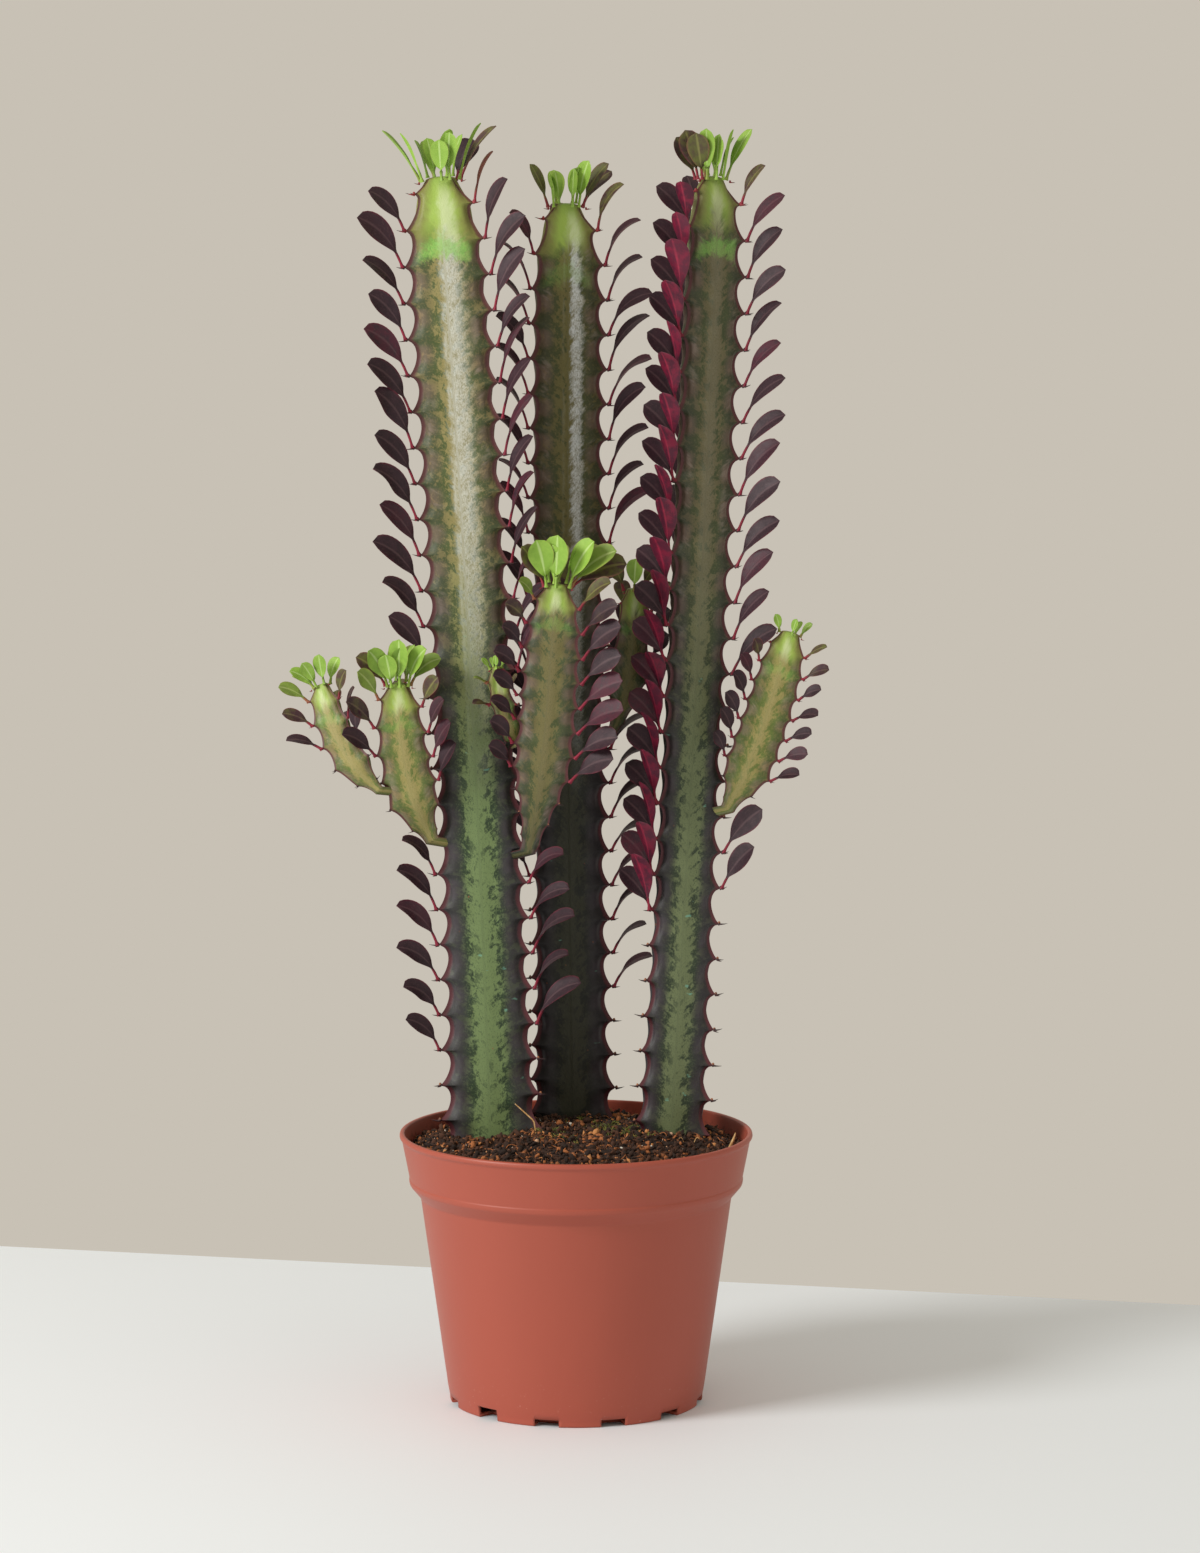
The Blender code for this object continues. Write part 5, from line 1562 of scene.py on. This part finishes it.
class EUPHORBIA_OT_stems(bpy.types.Operator):
    """Covers every stem and branch with its scalloped, mottled skin"""

    bl_idname = "euphorbia.stems"
    bl_label = "Stems and branches"

    core = 0.55  # radius between the ribs, as a share of their reach
    crowding = 1.35  # above 1, the columns stand closer together near a rib's crest
    notch_width = math.radians(10.0)
    skin_below_soil = 0.012
    cap_rings = 6
    cap_rise = 0.16  # height of the rounded tip, as a share of the reach there
    cap_hole = 0.02
    root_shares = (0.12, 0.3, 0.55, 1.0)  # rings of a branch's root, on the way into its parent
    root_flare = 0.15
    tip_bite = 0.85  # the least depth of a notch near the growing tip, as a share of the full depth
    short_tip = 1.8  # how much sooner a branch's young skin ages, counted from its tip

    def execute(self, context):
        materials = {name: skin_material(name) for name in SKINS}
        materials["rear_branch"] = materials["centre_branch"]
        for name, stalk in plant().stalks.items():
            finish = materials.get(name, materials["young"])
            skin = self.skin(stalk).build(name + "_skin", finish, smooth=50)
            keep(skin, "stem_skin" if stalk.buried else "young_stem_skin", name)
        return {"FINISHED"}

    def offsets(self):
        """Angles from a rib's crest, closer together near it."""
        half = look("stem").columns // 2
        positive = [(i / half) ** self.crowding * math.pi / RIBS for i in range(half + 1)]
        return [-a for a in positive[:0:-1]] + positive[:-1]

    def rings(self, stalk):
        """Each ring of the skin from the tip down: its centre, its distance along the stem, how far it
        is raised, its share of the full radius, and whether notches show in its colour (1 or 0)."""
        top = stalk.frame(0.0)[0]
        for i in range(self.cap_rings):
            tilt = math.pi / 2 * (1 - i / self.cap_rings)
            rise = self.cap_rise * stalk.reach(0.0) * math.sin(tilt)
            yield top, 0.0, rise, max(self.cap_hole, math.cos(tilt)), 0.0
        bottom = stalk.length - stalk.buried + self.skin_below_soil if stalk.buried else stalk.length
        count = int(bottom / look("stem").ring_step)
        for i in range(count + 1):
            distance = bottom * i / count
            yield stalk.frame(distance)[0], distance, 0.0, 1.0, 1.0
        if stalk.root:
            base = stalk.frame(stalk.length)[0]
            for share in self.root_shares:
                centre = base.lerp(stalk.root, share)
                yield centre, stalk.length, 0.0, 1 + self.root_flare * share, 0.0

    def skin(self, stalk):
        offsets = self.offsets()
        columns = [(rib, offset) for rib in range(RIBS) for offset in offsets]
        shift = letters(stalk.name) * 0.37
        points, notes = [], []
        for centre, distance, rise, share, notched in self.rings(stalk):
            _, up, side = stalk.frame(distance)
            other = up.cross(side)
            for rib, offset in columns:
                radius, cut = self.radius(stalk, rib, offset, distance)
                azimuth = stalk.rib_angle(rib, distance) + offset
                out = side * math.cos(azimuth) + other * math.sin(azimuth)
                points.append(centre + out * (radius * share) + up * rise)
                notes.append(self.note(stalk, rib, offset, distance - rise, cut * notched, shift))
        rows = len(points) // len(columns)
        sheaf = Sheaf()
        faces = [grid_faces(rows, len(columns)), *caps(rows, len(columns))]
        crest, face, drop, notch, surface, streak = zip(*notes)
        sheaf.add(
            [tuple(p) for p in points], faces, from_crest=crest, across_face=face, below_tip=drop,
            notch=notch, surface=surface, streak=streak,
        )
        return sheaf

    def note(self, stalk, rib, offset, distance, cut, shift):
        """Where a point is on its rib and face, for the skin's colours."""
        across = abs(offset) / (math.pi / RIBS)
        face = math.copysign(1 - across, -offset)
        from_tip = distance if stalk.buried else distance * self.short_tip
        surface = (offset * stalk.reach_full, distance, rib * 0.31 + shift)
        slant = distance + (1 - across) * 0.010
        streak = (surface[0] * 90, slant * 330, rib * 3.1 + shift)
        return across, face, from_tip, cut, surface, streak

    def radius(self, stalk, rib, offset, distance):
        """Distance of the skin from the axis, and how deep in a notch the place is (0 to 1)."""
        reach = stalk.reach(distance)
        share = 1 - abs(offset) / (math.pi / RIBS)
        radius = reach * (self.core + (1 - self.core) * share**3)
        place = (distance - FIRST_TOOTH) / stalk.pitch - TOOTH_PHASE[rib]
        phase = place % 1.0
        cut = notch_shape(phase)
        fade = math.exp(-((offset / self.notch_width) ** 2))
        swell = math.exp(-(((abs(offset) - 0.36) / 0.22) ** 2)) * math.cos(2 * math.pi * (phase - 0.05))
        swell *= look("stem").swell * reach / stalk.reach_full
        ridge = 0.0002 * math.exp(-((offset * reach / 0.0006) ** 2))
        depth = stalk.depth(distance)
        if distance < stalk.length / 2:
            depth = max(depth, self.tip_bite * stalk.tooth)
        return radius - depth * cut * fade + swell + ridge, cut


class EUPHORBIA_OT_leaves(bpy.types.Operator):
    """Grows the leaves of every row and crown"""

    bl_idname = "euphorbia.leaves"
    bl_label = "Leaves"

    across = np.array([-1.0, -0.8, -0.48, -0.16, 0.0, 0.16, 0.48, 0.8, 1.0])
    branch_age = 0.86  # the age of a branch's oldest leaves; a main stem's are 1
    grown_from = 0.030  # distance below the tip from which leaves are fully grown
    # The blade's width at x along it is fullness * x**foot * (1 - x)**tip, in shares of the leaf's
    fullness, foot, tip = 2.72, 1.1, 0.56
    petiole_radius = 0.00058
    end_half_width = 0.00012
    thinnest = 0.00026

    def execute(self, context):
        material = leaf_material()
        for name, (stalk, rib, found) in plant().rows.items():
            rng = np.random.default_rng(sum(ord(c) * (i + 1) for i, c in enumerate(name)))
            sheaf = Sheaf()
            ripe = 1.0 if stalk.buried else self.branch_age
            for index, leaf in found.items():
                if leaf is not None:
                    age = ripe * smooth_step((stalk.tooth_at(rib, index) + 0.006) / self.grown_from)
                    self.grow(sheaf, leaf, age, rng)
                    if name == "right_stem_front_leaves":
                        self.grow(sheaf, second_leaf(stalk, rib, index), age, rng)
            keep(sheaf.build(name + "_blades", material, smooth=70), "red_leaf", name)
        for name, leaves in plant().crowns.items():
            rng = np.random.default_rng(letters(name))
            sheaf = Sheaf()
            nodes = []
            for i, leaf in enumerate(leaves):
                if leaf is not None:
                    nodes.append(f"{name}_crown_leaf_{i + 1}")
                    self.grow(sheaf, leaf, rng.uniform(0.0, 0.12), rng, petiole=0.12)
            keep(sheaf.build(name + "_crown_leaves", material, smooth=70), "young_leaf", *nodes)
        for name, specs in YOUNG_LEAVES.items():
            rng = np.random.default_rng(letters(name) + 5)
            sheaf = Sheaf()
            for spec in specs:
                leaf, age = young_leaf(plant().stalks[name], spec)
                self.grow(sheaf, leaf, age, rng, petiole=0.15)
            keep(sheaf.build(name + "_young_leaves", material, smooth=70), "young_leaf")
        return {"FINISHED"}

    def grow(self, sheaf, leaf, age, rng, petiole=0.20):
        """One leaf: a round petiole that widens into a folded, slightly waved blade."""
        count = look("leaf").stations
        shares = (np.linspace(0, 1, count + 1) ** 0.92).tolist()
        fold = rng.uniform(0.07, 0.16)
        wave, beat = rng.uniform(0.0, 0.05), rng.uniform(0, 6.28)
        twist = rng.uniform(-0.25, 0.25)
        points, along, side_at, under, vein = [], [], [], [], []
        for share in shares:
            centre, side, normal = leaf.at(share)
            x = max(0.0, (share - petiole) / (1 - petiole))
            blade = leaf.width * self.fullness * x**self.foot * max(0.0, 1 - x) ** self.tip / 2
            stem = self.petiole_radius * (1 - 0.6 * x) + 0.0004 * max(0.0, 1 - share / 0.08)
            half = math.hypot(blade, stem) if share < 0.999 else self.end_half_width
            thick = max(self.thinnest, stem * (1 - x) ** 2)
            turn = twist * x
            side, normal = (
                side * math.cos(turn) + normal * math.sin(turn),
                normal * math.cos(turn) - side * math.sin(turn),
            )
            ring = [(a, 1) for a in self.across] + [(a, -1) for a in self.across[-2:0:-1]]
            for a, face in ring:
                height = fold * half * 2 * abs(a) ** 1.4 * min(1.0, x * 3)
                height += wave * half * math.sin(beat + 7 * x + 2 * a) * abs(a)
                height += face * thick * math.sqrt(max(0.0, 1 - a * a)) * (1 - 0.35 * abs(a))
                if face < 0:  # the midrib stands out below
                    height -= 0.0003 * math.exp(-((a / 0.16) ** 2)) * min(1.0, x * 4) * (1 - x)
                points.append(tuple(centre + side * (a * half) + normal * height))
                along.append(share)
                side_at.append(a)
                under.append(0.5 if abs(a) > 0.99 else float(face < 0))
                vein.append((x * 9 - abs(a) * 2.2, a * 0.6, beat * 5))
        columns = len(self.across) * 2 - 2
        rows = len(shares)
        sheaf.add(
            points, [grid_faces(rows, columns), *caps(rows, columns)], along=along, across=side_at,
            under=under, age=age, tone=rng.uniform(0.25, 0.75), vein=vein,
        )


class EUPHORBIA_OT_thorns(bpy.types.Operator):
    """Sets a pair of thorns on every tooth"""

    bl_idname = "euphorbia.thorns"
    bl_label = "Thorns"

    rim_pair = (0.0012, 0.7)  # distance below the growing tip, and size, of the pair on its rim
    branch_size = 0.62
    last_pair = 0.93  # share of a branch's length past which its neck is bare
    scarred_from = 0.09
    stations = (0, 0.3, 0.65, 1)
    radii = (0.00046, 0.00030, 0.00018, 0.00004)

    def execute(self, context):
        material = thorn_material()
        bearing = {}
        for name, (stalk, rib, found) in plant().rows.items():
            for index, leaf in found.items():
                if leaf is not None:
                    bearing.setdefault(stalk.name, set()).add((rib, index))
        for name, stalk in plant().stalks.items():
            rng = np.random.default_rng(letters(name))
            sheaf = Sheaf()
            bottom = stalk.length * self.last_pair
            if stalk.buried:
                bottom = stalk.length - stalk.buried - 0.004
            for rib in range(RIBS):
                self.pair(sheaf, stalk, rib, self.rim_pair[0], False, rng, self.rim_pair[1])
                index = 0
                while stalk.tooth_at(rib, index) < bottom:
                    bare = (rib, index) not in bearing.get(name, ())
                    self.pair(sheaf, stalk, rib, stalk.tooth_at(rib, index), bare, rng)
                    index += 1
            thorns = sheaf.build(name + "_thorns", material, smooth=60)
            keep(thorns, "stem_skin" if stalk.buried else "young_stem_skin")
        return {"FINISHED"}

    def pair(self, sheaf, stalk, rib, distance, bare, rng, share=1.0):
        azimuth = stalk.rib_angle(rib, distance)
        out = stalk.out(distance, azimuth)
        up = stalk.frame(distance)[1]
        across = up.cross(out)
        scale = share * (1.0 if stalk.buried else self.branch_size)
        foot = stalk.point(distance, azimuth, stalk.reach(distance) - 0.0004)
        age = smooth_step(distance / 0.06)
        self.pad(sheaf, foot, out, across, up, scale, age, float(bare and distance > self.scarred_from))
        for way in (-1, 1):
            long = look("leaf").thorn_length * scale * rng.uniform(0.75, 1.15)
            lean = rng.uniform(0.45, 0.75) * way
            droop = rng.uniform(-0.25, 0.2)
            heading = (out + across * lean + up * droop).normalized()
            start = foot + across * (way * 0.00035 * scale)
            path = [start + heading * (long * t) + up * (0.0005 * scale * t * t) for t in self.stations]
            points, faces = tube(path, [r * scale for r in self.radii], 6)
            sheaf.add(points, faces, along=np.repeat(self.stations, 6), age=age, scar=0.0)

    def pad(self, sheaf, foot, out, across, up, scale, age, scar):
        """The small horny shield at the tooth's end, with the scar of a fallen leaf."""
        shape = icosahedron()
        size = scale * np.array([0.0007, 0.0008, 0.0011])
        axes = np.array([tuple(out), tuple(across), tuple(up)])
        points = (shape * size) @ axes + np.array(tuple(foot + up * (0.0004 * scale)))
        marked = scar * (shape[:, 2] > 0.1)
        sheaf.add(points, ICOSAHEDRON_FACES, along=0.0, age=age, scar=marked.astype(float))


class EUPHORBIA_OT_stage(bpy.types.Operator):
    """Sets the table, the room, the soft window light and the camera"""

    bl_idname = "euphorbia.stage"
    bl_label = "Stage"

    camera_place = (0.0102, -1.900, 0.478)
    camera_down = math.radians(6.30)
    lens = 104.6
    table = ((-3.0, -3.0, 0), (3.0, -3.0, 0), (3.0, -0.435, 0), (-3.0, 0.912, 0))
    bounce_share = 0.03  # of the window's power

    def execute(self, context):
        stage = look("stage")
        self.sheet("table", self.floor_material(stage.floor), self.table)
        world = bpy.data.worlds.new("room")
        context.scene.world = world
        world.use_nodes = True
        sky = world.node_tree.nodes["Background"]
        sky.inputs["Color"].default_value = (*stage.room, 1)
        sky.inputs["Strength"].default_value = stage.fill
        power = stage.key_power
        self.area("window", (-1.75, -1.05, 1.35), (0.0, 0.0, 0.22), 0.9, power, paint("FFFDFA"))
        power *= self.bounce_share
        self.area("bounce", (1.6, -1.3, 0.9), (0.0, 0.0, 0.25), 1.4, power, paint("F4F1EC"))
        camera = bpy.data.cameras.new("camera")
        camera.lens = self.lens
        camera.sensor_width = 36
        made = bpy.data.objects.new("camera", camera)
        made.location = self.camera_place
        made.rotation_euler = (math.radians(90) - self.camera_down, 0, 0)
        context.scene.collection.objects.link(made)
        context.scene.camera = made
        context.scene.view_settings.view_transform = "Standard"
        return {"FINISHED"}

    def sheet(self, name, material, corners):
        mesh = bpy.data.meshes.new(name)
        mesh.from_pydata(corners, [], [(0, 1, 2, 3)])
        mesh.materials.append(material)
        made = bpy.data.objects.new(name, mesh)
        bpy.context.scene.collection.objects.link(made)

    def floor_material(self, colour):
        s = Shade("table_top")
        soft = s.noise(s.place(), 2.5, 3)
        return s.finish(Base_Color=s.shift(colour, soft * 0.04 + 0.98), Roughness=0.6 + soft * 0.05)

    def area(self, name, place, aim, size, power, colour):
        lamp = bpy.data.lights.new(name, "AREA")
        lamp.shape = "DISK"
        lamp.size = size
        lamp.energy = power
        lamp.color = colour
        made = bpy.data.objects.new(name, lamp)
        made.location = place
        made.rotation_euler = (Vector(aim) - Vector(place)).to_track_quat("-Z", "Y").to_euler()
        bpy.context.scene.collection.objects.link(made)


OPERATORS = (
    EUPHORBIA_OT_stage,
    EUPHORBIA_OT_pot,
    EUPHORBIA_OT_soil,
    EUPHORBIA_OT_stems,
    EUPHORBIA_OT_leaves,
    EUPHORBIA_OT_thorns,
)
LOOKS = {"pot": PotLook, "soil": SoilLook, "stem": StemLook, "leaf": LeafLook, "stage": StageLook}


class EUPHORBIA_PT_panel(bpy.types.Panel):
    """Lists the plant's looks and the operators that make it"""

    bl_idname = "EUPHORBIA_PT_panel"
    bl_label = "Euphorbia"
    bl_space_type = "VIEW_3D"
    bl_region_type = "UI"
    bl_category = "Euphorbia"

    def draw(self, context):
        for name, group in LOOKS.items():
            box = self.layout.box()
            box.label(text=name.capitalize())
            for key in group.__annotations__:
                box.prop(look(name), key)
        for operator in OPERATORS:
            self.layout.operator(operator.bl_idname)


def register():
    for name, group in LOOKS.items():
        bpy.utils.register_class(group)
        setattr(bpy.types.Scene, "euphorbia_" + name, PointerProperty(type=group))
    for cls in (*OPERATORS, EUPHORBIA_PT_panel):
        bpy.utils.register_class(cls)


def unregister():
    for cls in (EUPHORBIA_PT_panel, *reversed(OPERATORS)):
        bpy.utils.unregister_class(cls)
    for name, group in LOOKS.items():
        delattr(bpy.types.Scene, "euphorbia_" + name)
        bpy.utils.unregister_class(group)


def main():
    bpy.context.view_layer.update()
    register()
    bpy.ops.euphorbia.stage()
    bpy.ops.euphorbia.pot()
    bpy.ops.euphorbia.soil()
    bpy.ops.euphorbia.stems()
    bpy.ops.euphorbia.leaves()
    bpy.ops.euphorbia.thorns()


if __name__ == "__main__":
    main()
